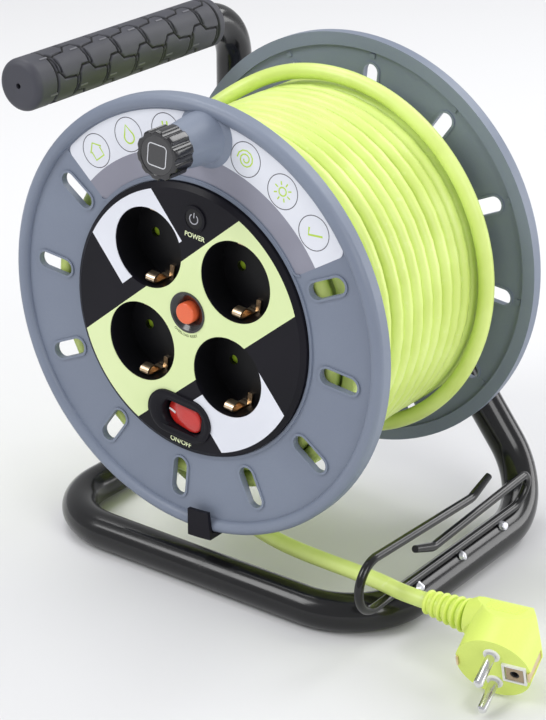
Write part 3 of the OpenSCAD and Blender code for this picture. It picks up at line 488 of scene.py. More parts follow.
@dataclass(frozen=True)
class Film(Finish):
    """Printed film under a satin laminate."""

    roughness: float = 0.34

    def sockets(self, s: Surface) -> dict[str, object]:
        """The shader's values and channels."""
        cloud = s.noise(22, 3)
        laminate = s.noise(1500, 2)
        return dict(
            Base_Color=s.mix(cloud.rise(0.35, 0.7), self.shade, self.colour),
            Roughness=self.roughness + 0.1 * laminate,
            Normal=s.bump(laminate, 0.000008),
        )


@dataclass(frozen=True)
class TreadRubber(Finish):
    """Matt grip rubber whose grooves are darkened with painted shade and are rougher, and whose lands are
    polished.
    """

    roughness: float = 0.5

    def sockets(self, s: Surface) -> dict[str, object]:
        """The shader's values and channels."""
        depth = s.attribute("tread_depth")
        grain = s.noise(2400, 3)
        cloud = s.noise(40, 3)
        lands = s.mix(cloud.rise(0.3, 0.7), tuple(c * 0.82 for c in self.colour), self.colour)
        return dict(
            # painted shade: the colour falls to the dark second shade where the tread is cut deep
            Base_Color=s.mix(depth.rise(0.15, 0.8), lands, self.shade),
            Roughness=self.roughness + 0.15 * depth + 0.1 * grain,
            Normal=s.bump(grain, 0.00004),
        )


PAINT = Lacquer("frame_gloss_black", (0.008, 0.008, 0.009), (0.005, 0.005, 0.006))
# the second shade is the painted shade in the tread's grooves
GRIP_RUBBER = TreadRubber("grip_charcoal_rubber", (0.052, 0.053, 0.068), (0.010, 0.010, 0.012))
GRIP_MARK = Plastic("grip_mark_grey", (0.16, 0.16, 0.18), (0.12, 0.12, 0.14), 0.5)
STEEL = Metal("zinc_steel", (0.62, 0.63, 0.66), (0.5, 0.5, 0.52))
PIN_STEEL = Metal("nickel_pins", (0.78, 0.78, 0.8), (0.66, 0.66, 0.69), 0.16, (1, 1, 9))
WELD = Metal("weld_bead", (0.75, 0.76, 0.8), (0.42, 0.42, 0.46), 0.3, (1, 1, 1), 700, 0.00012)
BRASS = Metal("contact_brass", (0.86, 0.68, 0.48), (0.66, 0.48, 0.3), 0.3)
LIME_CABLE = Jacket("cable_lime", (0.76, 0.90, 0.28), (0.66, 0.80, 0.20), (0.82, 0.90, 0.46))
LIME_PLUG = Plastic("plug_lime", (0.76, 0.90, 0.19), (0.68, 0.82, 0.15), 0.38, 900, 0.00004)
PLUG_WHITE = Plastic("plug_insert_white", (0.82, 0.82, 0.8), (0.76, 0.76, 0.74), 0.4)
PLUG_TAN = Plastic("plug_insert_tan", (0.42, 0.32, 0.21), (0.34, 0.25, 0.16), 0.45)
SLATE = Plastic("drum_slate", (0.215, 0.25, 0.325), (0.185, 0.215, 0.285), 0.42, 1500, 0.00003)
BLACK = Plastic("face_black", (0.011, 0.010, 0.015), (0.007, 0.007, 0.010), 0.34, 2200, 0.000012, 0, 0, 0.14)
KNOB_BLACK = Plastic("knob_gloss_black", (0.012, 0.012, 0.015), (0.008, 0.008, 0.010),
                     0.18, 2200, 0.00001, 0.4)
BADGE = Plastic("badge_black", (0.012, 0.012, 0.015), (0.008, 0.008, 0.010), 0.12, 1200, 0.000004, 0.8)
WELL_BLACK = Plastic("socket_black", (0.006, 0.006, 0.008), (0.004, 0.004, 0.005),
                     0.36, 1800, 0.00002, 0, 0, 0.25)
INNER = Plastic("inner_black", (0.03, 0.03, 0.032), (0.022, 0.022, 0.024), 0.55)
WHITE_FILM = Film("laminate_white", (0.81, 0.83, 0.90), (0.77, 0.79, 0.86))
GREY_FILM = Film("laminate_grey", (0.29, 0.293, 0.36), (0.25, 0.25, 0.31))
GREEN_FILM = Film("laminate_green", (0.78, 0.89, 0.48), (0.74, 0.86, 0.44))
INK_GREY = Film("ink_grey", (0.09, 0.09, 0.11), (0.07, 0.07, 0.09), 0.4)
INK_SILVER = Film("ink_silver", (0.42, 0.42, 0.46), (0.36, 0.36, 0.4), 0.4)
INK_LIME = Film("ink_lime", (0.52, 0.75, 0.07), (0.48, 0.70, 0.05), 0.4)
INK_PALE = Film("ink_pale", (0.82, 0.90, 0.55), (0.78, 0.86, 0.5), 0.4)
INK_OLIVE = Film("ink_olive", (0.12, 0.16, 0.035), (0.09, 0.12, 0.025), 0.5)
INK_WHITE = Film("ink_white", (0.85, 0.85, 0.87), (0.8, 0.8, 0.82), 0.4)
RED = Plastic("rocker_red", (0.62, 0.028, 0.02), (0.5, 0.016, 0.012), 0.22, 1600, 0.00001, 0.3, 0.15)
RESET_RED = Plastic("reset_orange_red", (0.86, 0.17, 0.06), (0.74, 0.10, 0.035),
                    0.3, 1600, 0.00001, 0.15, 0.1)
LENS = Plastic("lamp_lens_dark", (0.008, 0.008, 0.010), (0.005, 0.005, 0.006),
               0.16, 500, 0.000004, 0.15, 0.1, 0.2)
SHUTTER = Plastic("shutter_lime", (0.42, 0.62, 0.03), (0.36, 0.54, 0.02), 0.45)
SILVER_INK = Metal("badge_silver", (0.72, 0.73, 0.76), (0.6, 0.6, 0.64), 0.25)

NODE_FINISHES: dict[str, Finish] = {node: finish for finish, nodes in (
    (PAINT, "hub_sleeve"),
    (STEEL, "hub_screw axle thrust_washer flange_screws rear_screws face_screws crank_pin"),
    (INNER, "hub_cap retaining_ring front_bush rear_bush contact_carrier contact_cover cord_clamp "
            "cutout_body"),
    (LIME_PLUG, "plug_body"),
    (PIN_STEEL, "plug_pins"),
    (BRASS, "plug_earth_contacts earth_contacts earth_rail pole_rails"),
    (PLUG_TAN, "plug_earth_socket"),
    (SLATE, "front_flange rear_flange barrel"),
    (BLACK, "rim_clip face_plate screw_plugs switch_housing lamp_ring"),
    (WHITE_FILM, "label_white white_panels"),
    (GREY_FILM, "label_grey"),
    (GREEN_FILM, "green_band"),
    (WELL_BLACK, "socket_1 socket_2 socket_3 socket_4"),
    (KNOB_BLACK, "reset_bezel"),
    (RESET_RED, "reset_button"),
    (LENS, "lamp_lens"),
    (BADGE, "knob_badge"),
    (SHUTTER, "shutter_1 shutter_2 shutter_3 shutter_4"),
) for node in nodes.split()}


# Meshes --------------------------------------------------------------------


def make_piece(name: str, data: MeshData | bpy.types.Mesh, finish: Finish, body: Body, slot: Slot,
               replaces: Sequence[str] = (), crease: float = CREASE) -> bpy.types.Object:
    """Turns points and faces into a finished piece.

    Args:
        name: The piece's name.
        data: Points and faces, or a mesh that is ready.
        finish: Its finish.
        body: The body it rides on.
        slot: The material slot meant for it; not used.
        replaces: The model's nodes that it stands for.
        crease: Edges sharper than this angle stay sharp.

    Returns:
        The new object.
    """
    if isinstance(data, bpy.types.Mesh):
        mesh = data
        mesh.name = name
    else:
        mesh = bpy.data.meshes.new(name)
        mesh.from_pydata([tuple(v) for v in data[0]], [], data[1])
    shape = bmesh.new()
    shape.from_mesh(mesh)
    bmesh.ops.remove_doubles(shape, verts=shape.verts, dist=1e-6)
    bmesh.ops.recalc_face_normals(shape, faces=shape.faces)
    shape.to_mesh(mesh)
    shape.free()
    mesh.materials.clear()
    mesh.materials.append(finish.material())
    for face in mesh.polygons:
        face.material_index = 0
    mesh.shade_smooth()
    mesh.set_sharp_from_angle(angle=crease)
    piece = linked(name, mesh)
    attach(piece, body.value)
    if replaces:
        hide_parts(*replaces)
    log.info("%s: %d faces on %s", name, len(mesh.polygons), body.value)
    return piece


def shape_of(mesh: bpy.types.Mesh, put: Put) -> MeshData:
    """The points and faces of a mesh, its points put in place by their millimetres."""
    return [put(*(c / MM for c in v.co)) for v in mesh.vertices], [tuple(p.vertices) for p in mesh.polygons]


def joined(parts: Sequence[MeshData]) -> MeshData:
    """Puts several shapes into one.

    Args:
        parts: Points and faces of each.

    Returns:
        Points and faces of all.
    """
    points: list[Vector] = []
    faces: Faces = []
    for some, around in parts:
        start = len(points)
        points += some
        faces += [tuple(start + i for i in face) for face in around]
    return points, faces


def strip_faces(rings: int, sides: int, closed: bool = False, capped: bool = False) -> Faces:
    """Quads between rings of points.

    Args:
        rings: The count of rings.
        sides: Points in each ring.
        closed: Whether the last ring joins the first.
        capped: Whether a face closes each end.

    Returns:
        The faces.
    """
    last = rings if closed else rings - 1
    faces = [(i * sides + k, i * sides + (k + 1) % sides,
              (i + 1) % rings * sides + (k + 1) % sides, (i + 1) % rings * sides + k)
             for i in range(last) for k in range(sides)]
    if capped:
        faces += [tuple(range(sides)), tuple(range(rings * sides - 1, (rings - 1) * sides - 1, -1))]
    return faces


def sweep(path: Path, radius: float | Callable[[int], float], sides: int = 24) -> MeshData:
    """A round bar along a path, with flat ends.

    Args:
        path: Points in metres.
        radius: One radius in metres, or a function of the point's number.
        sides: Points round the bar.

    Returns:
        Points and faces.
    """
    count = len(path)
    tangents = [(path[min(i + 1, count - 1)] - path[max(i - 1, 0)]).normalized() for i in range(count)]
    side = tangents[0].orthogonal().normalized()
    points: list[Vector] = []
    for i, along in enumerate(tangents):
        side = (side - along * side.dot(along)).normalized()
        up = along.cross(side)
        r = radius(i) if callable(radius) else radius
        for k in range(sides):
            a = 2 * math.pi * k / sides
            points.append(path[i] + r * (math.cos(a) * side + math.sin(a) * up))
    return points, strip_faces(count, sides, capped=True)


def lathe(profile: Sequence[Spot], centre: Spot, sides: int = 96,
          shape: Callable[[float, float], float] | None = None, put: Put = on_drum) -> MeshData:
    """A closed profile spun about a line along Y.

    Args:
        profile: (radius, y) pairs in millimetres, all round the section.
        centre: (x, z) of the line, in millimetres.
        sides: Points round the line.
        shape: Changes a radius by its value and angle.
        put: Places a point.

    Returns:
        Points and faces.
    """
    points = []
    for r, y in profile:
        for k in range(sides):
            a = 2 * math.pi * k / sides
            reach = shape(r, a) if shape else r
            points.append(put(centre[0] + reach * math.cos(a), y, centre[1] + reach * math.sin(a)))
    return points, strip_faces(len(profile), sides, closed=True)


def arc(centre: Spot, radius: float, start: float, end: float,
        steps: int) -> list[Spot]:
    """Points of an arc between two angles in degrees, both ends among them."""
    spokes = [polar(radius, start + (end - start) * i / steps) for i in range(steps + 1)]
    return [(centre[0] + x, centre[1] + y) for x, y in spokes]


def filleted(corners: Sequence[tuple[Vector, float]], step: float = 4.0) -> Path:
    """A path of straight runs whose corners are rounded.

    Args:
        corners: Points in metres with the radius of each bend.
        step: Degrees between points of a bend.

    Returns:
        The path's points.
    """
    path = [corners[0][0]]
    for before, (corner, radius), after in zip(corners, corners[1:], corners[2:]):
        back = (before[0] - corner).normalized()
        ahead = (after[0] - corner).normalized()
        turn = math.pi - back.angle(ahead)
        reach = radius * math.tan(turn / 2)
        centre = corner + (back + ahead).normalized() * (radius / math.cos(turn / 2))
        first = corner + back * reach - centre
        axis = first.cross(corner + ahead * reach - centre).normalized()
        count = max(2, round(math.degrees(turn) / step))
        path += [centre + Matrix.Rotation(turn * i / count, 3, axis) @ first for i in range(count + 1)]
    path.append(corners[-1][0])
    return path


def smooth_path(points: Path, parts: int) -> Path:
    """A smooth curve through points.

    Args:
        points: The points it passes through.
        parts: Steps between two of them.

    Returns:
        The curve's points.
    """
    path = []
    for i in range(len(points) - 1):
        p1, p2 = points[i], points[i + 1]
        p0 = points[i - 1] if i else p1 + (p1 - p2)
        p3 = points[i + 2] if i + 2 < len(points) else p2 + (p2 - p1)
        for k in range(parts):
            t = k / parts
            path.append(0.5 * (2 * p1 + (p2 - p0) * t + (2 * p0 - 5 * p1 + 4 * p2 - p3) * t * t
                               + (3 * p1 - p0 - 3 * p2 + p3) * t ** 3))
    path.append(points[-1])
    return path


def flat_shape(outline: Sequence[Spot], y: float, thick: float,
               put: Put = on_drum) -> MeshData:
    """A flat shape in the (x, z) plane, from its front y back by its thickness."""
    points = [put(x, at, z) for at in (y, y + thick) for x, z in outline]
    return points, strip_faces(2, len(outline), capped=True)


def stroke(line: Sequence[Spot], width: float, y: float, thick: float,
           closed: bool = False, put: Put = on_drum) -> MeshData:
    """A printed or raised line of even width in the (x, z) plane.

    Args:
        line: The points it follows.
        width: Its width.
        y: Its front.
        thick: Its thickness towards the back.
        closed: Whether it returns to its start.
        put: Places a point.

    Returns:
        Points and faces.
    """
    count = len(line)
    rings: list[Vector] = []
    for i, (x, z) in enumerate(line):
        ahead = line[(i + 1) % count] if closed or i + 1 < count else (x, z)
        behind = line[i - 1] if closed or i else (x, z)
        dx, dz = ahead[0] - behind[0], ahead[1] - behind[1]
        size = math.hypot(dx, dz) or 1
        nx, nz = -dz / size * width / 2, dx / size * width / 2
        rings += [put(x + nx, y, z + nz), put(x - nx, y, z - nz),
                  put(x - nx, y + thick, z - nz), put(x + nx, y + thick, z + nz)]
    return rings, strip_faces(count, 4, closed, not closed)


# Frame ---------------------------------------------------------------------


@dataclass
class TubeFrame:
    """The bent tube: grip arm, rear bend, base loop and riser, as one tube."""

    radius: float = 10.0
    left_x: float = -104.0
    right_x: float = 108.0
    bar_z: float = -140.0
    front_y: float = 6.0
    rear_y: float = 174.0
    handle_z: float = 103.0
    grip_start_y: float = 5.0
    base_bend: float = 40.0
    handle_bend: float = 25.0
    hub_reach: float = 12.0
    sleeve_r: float = 15.0
    seam_steps: int = 72
    seam_r: float = 1.5
    seam_lump: float = 0.25

    def centre_line(self) -> Path:
        """The tube's middle, from inside the grip to inside the hub sleeve."""
        riser = Vector((-self.right_x, 0, -self.bar_z))
        share = 1 - self.hub_reach / riser.length
        end = place(self.right_x + riser.x * share, self.rear_y, self.bar_z + riser.z * share)
        corners = [(place(self.left_x, self.grip_start_y, self.handle_z), 0.0),
                   (place(self.left_x, self.rear_y, self.handle_z), self.handle_bend * MM)]
        corners += [(place(x, y, self.bar_z), self.base_bend * MM) for x, y in (
            (self.left_x, self.rear_y), (self.left_x, self.front_y),
            (self.right_x, self.front_y), (self.right_x, self.rear_y))]
        return filleted([*corners, (end, 0.0)], 3)

    def weld_seam(self) -> MeshData:
        """The bead where the riser meets the hub sleeve."""
        riser = Vector((-self.right_x, 0, -self.bar_z)).normalized()
        side = Vector((riser.z, 0, -riser.x))
        seam = []
        for k in range(self.seam_steps + 1):
            a = 2 * math.pi * k / self.seam_steps
            across, along_y = self.radius * math.cos(a), self.radius * math.sin(a)
            down = math.sqrt(self.sleeve_r ** 2 - across ** 2)
            p = -riser * down + side * across
            seam.append(place(p.x, self.rear_y + along_y, p.z))
        return sweep(seam, lambda i: (self.seam_r + self.seam_lump * math.sin(i * 1.9)) * MM, 10)

    def build(self) -> None:
        """Makes the tube and its weld seam."""
        tube = sweep(self.centre_line(), self.radius * MM, 48)
        make_piece("frame_tube", tube, PAINT, Body.FRAME, Slot.PAINT,
                   ("base_tube", "handle_tube", "riser_tube"))
        make_piece("riser_weld", self.weld_seam(), PAINT, Body.FRAME, Slot.PAINT)


@dataclass
class HandleGrip:
    """The moulded grip: a tread of zigzag grooves and a rounded, closed end."""

    x: float = -104.0
    z: float = 103.0
    front_y: float = -3.0
    length: float = 152.0
    radius: float = 13.7
    edge: float = 4.0
    hole_r: float = 1.5
    bore_r: float = 10.0
    tread_from: float = 15.0
    tread_to: float = 146.5
    pitch: float = 22.9
    phase: float = 7.1
    marks_from: float = 12.3
    rows: int = 6
    groove_half: float = 0.5
    groove_depth: float = 1.0
    tread_fade: float = 1.2
    end_half: float = 0.6
    around: int = 176
    along: int = 288
    mark_count: int = 6
    mark_size: Place = (0.9, 5.2, 1.0)
    mark_sunk: float = 0.25

    def groove_lines(self) -> list[tuple[float, float, float, float]]:
        """The grooves of two rows as line pieces of (y, s, y, s), for one pitch."""
        row = 2 * math.pi * self.radius / self.rows
        p = self.pitch
        zig = [(0.0, 0.0), (4.4, 5.4), (10.2, 5.6), (13.6, 1.6), (p - 1.4, 1.2), (p, 0.0)]
        lines = [(*a, *b) for a, b in zip(zig, zig[1:])]
        lines.append((0.0, 0.0, -0.6, -row + 5.2))
        lines.append((10.2, 5.6, 9.4, row + 1.4))
        mirrored = [(-a + p / 2, b + row, -c + p / 2, d + row) for a, b, c, d in lines]
        return lines + mirrored

    def spot(self, reach: float, y: float, angle: float) -> Vector:
        """A point by its distance from the grip's line, its place along it and its angle."""
        return place(self.x + reach * math.cos(angle), self.front_y + y, self.z + reach * math.sin(angle))

    def depth_map(self, ys: np.ndarray, ss: np.ndarray) -> np.ndarray:
        """How deep the tread is cut.

        Args:
            ys: Places along the grip, in millimetres.
            ss: Places round it, in millimetres of arc.

        Returns:
            0 on the lands to 1 in the middle of a groove.
        """
        row = 2 * math.pi * self.radius / self.rows
        py, ps = np.mod(ys - self.phase, self.pitch), np.mod(ss, 2 * row)
        near = np.full(np.broadcast(py, ps).shape, 99.0)
        for ay, a_s, by, b_s in self.groove_lines():
            for shift_y in (-self.pitch, 0, self.pitch):
                for shift_s in (-2 * row, 0, 2 * row):
                    a = np.array([ay + shift_y, a_s + shift_s])
                    d = np.array([by, b_s]) + (shift_y, shift_s) - a
                    t = np.clip(((py - a[0]) * d[0] + (ps - a[1]) * d[1]) / (d @ d), 0, 1)
                    near = np.minimum(near, np.hypot(py - a[0] - t * d[0], ps - a[1] - t * d[1]))
        cut = np.clip(1.5 - near / self.groove_half, 0, 1)
        inside = np.clip(np.minimum(ys - self.tread_from, self.tread_to - ys) / self.tread_fade, 0, 1)
        to_end = np.minimum(np.abs(ys - self.tread_from), np.abs(ys - self.tread_to))
        ends = np.clip(1.6 - to_end / self.end_half, 0, 1)
        return np.maximum(cut * cut * (3 - 2 * cut) * inside, np.broadcast_to(ends, near.shape))

    def build(self) -> None:
        """Makes the grip and the small marks along its side."""
        round_end = arc((self.radius - self.edge, self.edge), self.edge, 270, 360, 8)
        side = np.linspace(self.edge + 0.5, self.length - 1, self.along)
        outline = [(self.hole_r, self.edge + 2), (self.hole_r, 0.0)] + round_end
        outline += [(self.radius, y) for y in side]
        bore = self.bore_r + 0.05
        outline += [(self.radius - 0.6, self.length), (bore, self.length), (bore, self.edge + 2)]
        angles = np.arange(self.around) * 2 * np.pi / self.around
        depth = np.zeros((len(outline), self.around))
        first = 2 + len(round_end)
        depth[first:first + self.along] = self.depth_map(side[:, None], angles[None, :] * self.radius)
        points = []
        for (r, y), row in zip(outline, depth):
            points += [self.spot(r - d * self.groove_depth, y, a) for a, d in zip(angles, row)]
        faces = strip_faces(len(outline), self.around, closed=True)
        mesh = bpy.data.meshes.new("grip")
        mesh.from_pydata([tuple(p) for p in points], [], faces)
        # the cut depth also darkens the grooves with painted shade in the grip's finish
        mark = mesh.attributes.new("tread_depth", "FLOAT", "POINT")
        mark.data.foreach_set("value", depth.astype(np.float32).ravel())
        make_piece("grip", mesh, GRIP_RUBBER, Body.FRAME, Slot.GRIP, ("handle_grip",), math.radians(50))
        self.build_marks()

    def build_marks(self) -> None:
        """Makes the row of small raised marks on each side of the grip."""
        tree = GeometryTree("grip_marks")
        count = tree.count()
        step, *size = tree.sizes("Step", "Width", "Length", "Height")
        block = tree.add("GeometryNodeMeshCube", None, {"Size": tree.vector(*size)})
        line = tree.row(count, tree.vector(0, step, 0))
        tree.close(tree.add("GeometryNodeInstanceOnPoints", None, {"Points": line, "Instance": block}))
        width, length, height = (side * MM for side in self.mark_size)
        for name, degrees in (("right", -22.0), ("top", 64.0), ("left", 202.0)):
            mesh = tree.mesh(GRIP_MARK.material(), Count=self.mark_count, Step=self.pitch * MM,
                             Width=width, Length=length, Height=height)
            a = math.radians(degrees)
            turn = Matrix.Rotation(math.pi / 2 - a, 4, "Y")
            spot = self.spot(self.radius - self.mark_sunk, self.marks_from, a)
            mesh.transform(Matrix.Translation(spot) @ turn)
            make_piece(f"grip_marks_{name}", mesh, GRIP_MARK, Body.FRAME, Slot.GRIP)


@dataclass
class CableHook:
    """The wire hook along the right side bar, with its three weld beads."""

    wire_r: float = 2.4
    x: float = 110.0
    bar_x: float = 108.0
    bar_z: float = -140.0
    bar_r: float = 10.0
    front_r: float = 14.2
    rear_r: float = 5.0
    sweep_r: float = 16.0
    sweep_end: float = 330.0
    start_y: float = 7.0
    run: float = 131.0
    arm: float = 88.0
    tip: float = 17.0
    drop: float = 4.2
    tip_rise: float = 6.0
    weld_shares: tuple[float, ...] = (0.27, 0.58, 0.89)
    weld_lean: float = 31.0
    weld_half: Place = (2.7, 2.9, 1.7)

    def centre_line(self) -> Path:
        """The wire's middle, from the upper arm's tip round both loops."""
        low = self.bar_z + math.sqrt((self.bar_r + self.wire_r) ** 2 - (self.x - self.bar_x) ** 2)
        back_y = self.start_y + self.run
        lean = self.sweep_r - self.rear_r
        end = math.radians(self.sweep_end)
        rear_y = back_y + lean * math.cos(end)
        rear_z = low + self.sweep_r + lean * math.sin(end)

        def tip(y: float, z: float, way: int) -> list[Spot]:
            """An arm's bent tip, from its far end to the kink."""
            far = (y + way * (self.arm + self.tip), z - self.drop + self.tip_rise)
            kink = (y + way * self.arm, z - self.drop)
            return [far, (kink[0] + way * 3, kink[1] + 0.9), (kink[0] + way * 1.2, kink[1] + 0.28),
                    (kink[0] - way * 0.8, kink[1] + 0.02), (kink[0] - way * 3, kink[1] + 0.12)]

        line = tip(self.start_y, low + 2 * self.front_r, 1)
        line += arc((self.start_y, low + self.front_r), self.front_r, 92, 270, 36)
        line += arc((back_y, low + self.sweep_r), self.sweep_r, 270, self.sweep_end, 14)
        line += arc((rear_y, rear_z), self.rear_r, self.sweep_end + 8, 452, 22)
        line += list(reversed(tip(rear_y, rear_z + self.rear_r, -1)))
        return [place(self.x, y, z) for y, z in line]

    def weld_bead(self, number: int, share: float) -> MeshData:
        """One lumpy bead.

        Args:
            number: Which bead, for its own lumps.
            share: Its place along the wire's lower run.

        Returns:
            Points and faces.
        """
        ball = bmesh.new()
        bmesh.ops.create_icosphere(ball, subdivisions=3, radius=1)
        a = math.radians(self.weld_lean)
        out = Vector((math.sin(a), 0, math.cos(a)))
        side = Vector((math.cos(a), 0, -math.sin(a)))
        middle = Vector((self.bar_x, self.start_y + share * self.run, self.bar_z)) + out * (self.bar_r + 0.2)
        wide, deep, high = self.weld_half
        points = []
        for v in ball.verts:
            x, y, z = v.co
            lump = 1 + 0.1 * math.sin(4 * y + 2 * number) + 0.07 * math.sin(7 * z + 5 * x + number)
            flat = side * (wide * x) + Vector((0, deep * y, 0)) + out * (high * z + 0.5 * (1 - x) * abs(z))
            points.append(place(*(middle + flat * lump)))
        faces = [tuple(v.index for v in f.verts) for f in ball.faces]
        ball.free()
        return points, faces

    def build(self) -> None:
        """Makes the wire and its welds."""
        path = self.centre_line()
        last = len(path) - 1
        wire = sweep(path, lambda i: self.wire_r * MM * (0.82 if i in (0, last) else 1), 20)
        make_piece("cable_hook_wire", wire, PAINT, Body.FRAME, Slot.PAINT, ("cable_hook",), math.radians(60))
        beads = joined([self.weld_bead(n, share) for n, share in enumerate(self.weld_shares)])
        make_piece("hook_weld_beads", beads, WELD, Body.FRAME, Slot.WELD, ("hook_welds",))


# Cable ---------------------------------------------------------------------


@dataclass
class FreeCord:
    """The free end of the cable: over the winding, through the hook, to the plug."""

    diameter: float = 8.4
    turn_r: float = 98.5
    turn_from: int = -72
    turn_to: int = 238
    turn_step: int = 10
    front_y: float = 25.0
    back_y: float = 121.0
    route: tuple[Place, ...] = (
        (-24, 25, -98), (-8, 25, -105.5), (8, 25, -112.5), (22, 25, -118), (37, 25, -121.5),
        (53, 25, -123), (69, 24, -122.8), (86, 22.5, -122), (103, 20.2, -121),
        (119, 17.8, -120.8), (134, 17.6, -120.8))
    shift_from: float = 225.0
    shift_over: float = 110.0
    boot_l: float = 23.0
    boot_walls: Spot = (0.9, 2.4)
    ribs: int = 6
    rib_t: float = 2.2
    rib_r: float = 6.3
    rib_growth: float = 0.4

    def centre_line(self) -> Path:
        """The cord's middle, from the winding to the strain relief."""
        points = []
        for a in range(self.turn_from, self.turn_to + 1, self.turn_step):
            t = max(0.0, min(1.0, (self.shift_from - a) / self.shift_over))
            share = 0.5 * t + 0.5 * t * t * (3 - 2 * t)
            y = self.front_y + (self.back_y - self.front_y) * share
            x, z = polar(self.turn_r, a)
            points.append(place(x, y, z))
        points += [place(*p) for p in self.route]
        return smooth_path(points, 6)

    def relief(self) -> MeshData:
        """The ribbed, tapered strain relief, as one shape."""
        end = Vector(self.route[-1])
        r0, r1 = (self.diameter / 2 + wall for wall in self.boot_walls)
        core = sweep([place(end.x + self.boot_l * k / 8, end.y, end.z) for k in range(9)],
                     lambda i: (r0 + (r1 - r0) * i / 8) * MM, 32)
        tree = GeometryTree("relief_ribs")
        count = tree.count()
        step, ring_r, grow, bead_r = tree.sizes("Step", "Ring Radius", "Growth", "Bead Radius")
        torus = tree.add("GeometryNodeCurveToMesh", None,
                         {"Curve": tree.circle(48, ring_r), "Profile Curve": tree.circle(12, bead_r)})
        line = tree.row(count, tree.vector(step, 0, 0))
        size = 1 + tree.add("GeometryNodeInputIndex") * grow
        tree.close(tree.add("GeometryNodeInstanceOnPoints", None, {
            "Points": line, "Instance": torus, "Rotation": (0, math.pi / 2, 0),
            "Scale": tree.vector(size, size, 1.0)}))
        bead = self.rib_t / 2
        mesh = tree.mesh(LIME_PLUG.material(), Count=self.ribs,
                         Step=(self.boot_l - self.rib_t) / (self.ribs - 1) * MM,
                         Ring_Radius=(self.rib_r - bead) * MM, Growth=self.rib_growth / (self.rib_r - bead),
                         Bead_Radius=bead * MM)
        middle = place(end.x + bead, end.y, end.z)
        return joined([core, shape_of(mesh, lambda *p: middle + Vector(p) * MM)])

    def build(self, nodes: dict[str, bpy.types.Object]) -> None:
        """Args:
            nodes: The model's nodes by name.
        """
        path = self.centre_line()
        length = sum((b - a).length for a, b in zip(path, path[1:]))
        cord = make_piece("free_cable", sweep(path, self.diameter / 2 * MM, 20), LIME_CABLE,
                          Body.FRAME, Slot.CABLE, ("free_cord",))
        boot = make_piece("strain_relief", self.relief(), LIME_PLUG, Body.FRAME, Slot.PLUG, ("plug_boot",))
        plug = [nodes[n] for n in ("plug_body", "plug_pins", "plug_earth_contacts", "plug_earth_socket")]
        plug += PlugTrim().build()
        tuple(path[0])
        [tuple(p) for p in path]


@dataclass
class PlugTrim:
    """Small parts on the plug: pin collars, the earth insert's frame, the grip's lines, and the earth hole's
    dark lining and floor, which are painted shade.
    """

    neck: Place = (157.0, 17.6, -120.8)
    tilt: float = 20.0
    yaw: float = 11.0
    mid_x: float = 23.0
    face_y: float = -27.0
    back_y: float = 7.0
    disc_back_y: float = -13.0
    ridge_half: float = 8.5
    beyond: float = 20.0
    pin_z: float = 9.5
    pin_r: float = 2.45
    collar_r: float = 4.2
    hole_x: float = 11.0
    insert_x: float = 10.8
    insert_w: float = 12.4
    insert_h: float = 12.2
    hole_r: float = 1.7
    hole_out_r: float = 2.3
    frame_w: float = 1.6
    line_count: int = 6
    line_from: float = 0.42
    line_step: float = 0.085
    line_r: float = 0.32
    line_half: float = 12.0
    body_r: float = 18.0

    def put(self, x: float, y: float, z: float) -> Vector:
        """A point of the plug, from the middle of its round face's line."""
        turn = (Matrix.Rotation(math.radians(self.yaw), 3, "Z")
                @ Matrix.Rotation(math.radians(self.tilt), 3, "X"))
        return place(*(Vector(self.neck) + turn @ Vector((x + self.mid_x, y, z))))

    def grip_line(self, share: float, side: int) -> MeshData:
        """One raised line along the plug on a slanted flat.

        Args:
            share: Its place from the disc to the ridge.
            side: 1 for the upper flat, -1 for the lower.

        Returns:
            Points and faces.
        """
        y = self.disc_back_y + (self.back_y - self.disc_back_y) * share
        z = self.beyond - (self.beyond - self.ridge_half) * share
        half = min(self.line_half, math.sqrt(self.body_r ** 2 - z * z))
        path = [self.put(x, y, side * z) for x in (-half, -half / 2, 0, half * 0.5, half * 0.6)]
        return sweep(path, self.line_r * MM, 8)

    def build(self) -> list[bpy.types.Object]:
        """Makes the plug's small parts and hands them back."""
        y = self.face_y
        collar = [(self.pin_r, y + 0.2), (self.pin_r, y - 0.6), (self.collar_r - 0.5, y - 0.9),
                  (self.collar_r, y - 0.5), (self.collar_r, y + 0.2)]
        whites = [lathe(collar, (0, side * self.pin_z), 40, None, self.put) for side in (-1, 1)]
        w, h = (self.insert_w - self.frame_w) / 2, (self.insert_h - self.frame_w) / 2
        frame = [(self.insert_x + a, b) for a, b in ((-w, -h), (w, -h), (w, h), (-w, h))]
        whites.append(stroke(frame, self.frame_w, y - 1.3, 1.5, True, self.put))
        # painted shade: the earth hole's lining and a disc that closes it 3 mm in are dark inner plastic,
        # standing for the shade inside the hole
        bush = [(self.hole_r, y + 5), (self.hole_r, y - 0.6),
                (self.hole_out_r, y - 0.6), (self.hole_out_r, y + 5)]
        core = lathe(bush, (self.hole_x, 0), 32, None, self.put)
        floor = flat_shape(arc((self.hole_x, 0), self.hole_r, 0, 345, 23), y + 3, 0.2, self.put)
        lines = [self.grip_line(self.line_from + self.line_step * k, side)
                 for k in range(self.line_count) for side in (-1, 1)]
        return [
            make_piece("plug_collars", joined(whites), PLUG_WHITE, Body.FRAME, Slot.WHITE_FILM),
            make_piece("plug_hole_shade_lining", core, INNER, Body.FRAME, Slot.BLACK),
            make_piece("plug_hole_shade_floor", floor, INNER, Body.FRAME, Slot.BLACK),
            make_piece("plug_grip_lines", joined(lines), LIME_PLUG, Body.FRAME, Slot.PLUG),
        ]


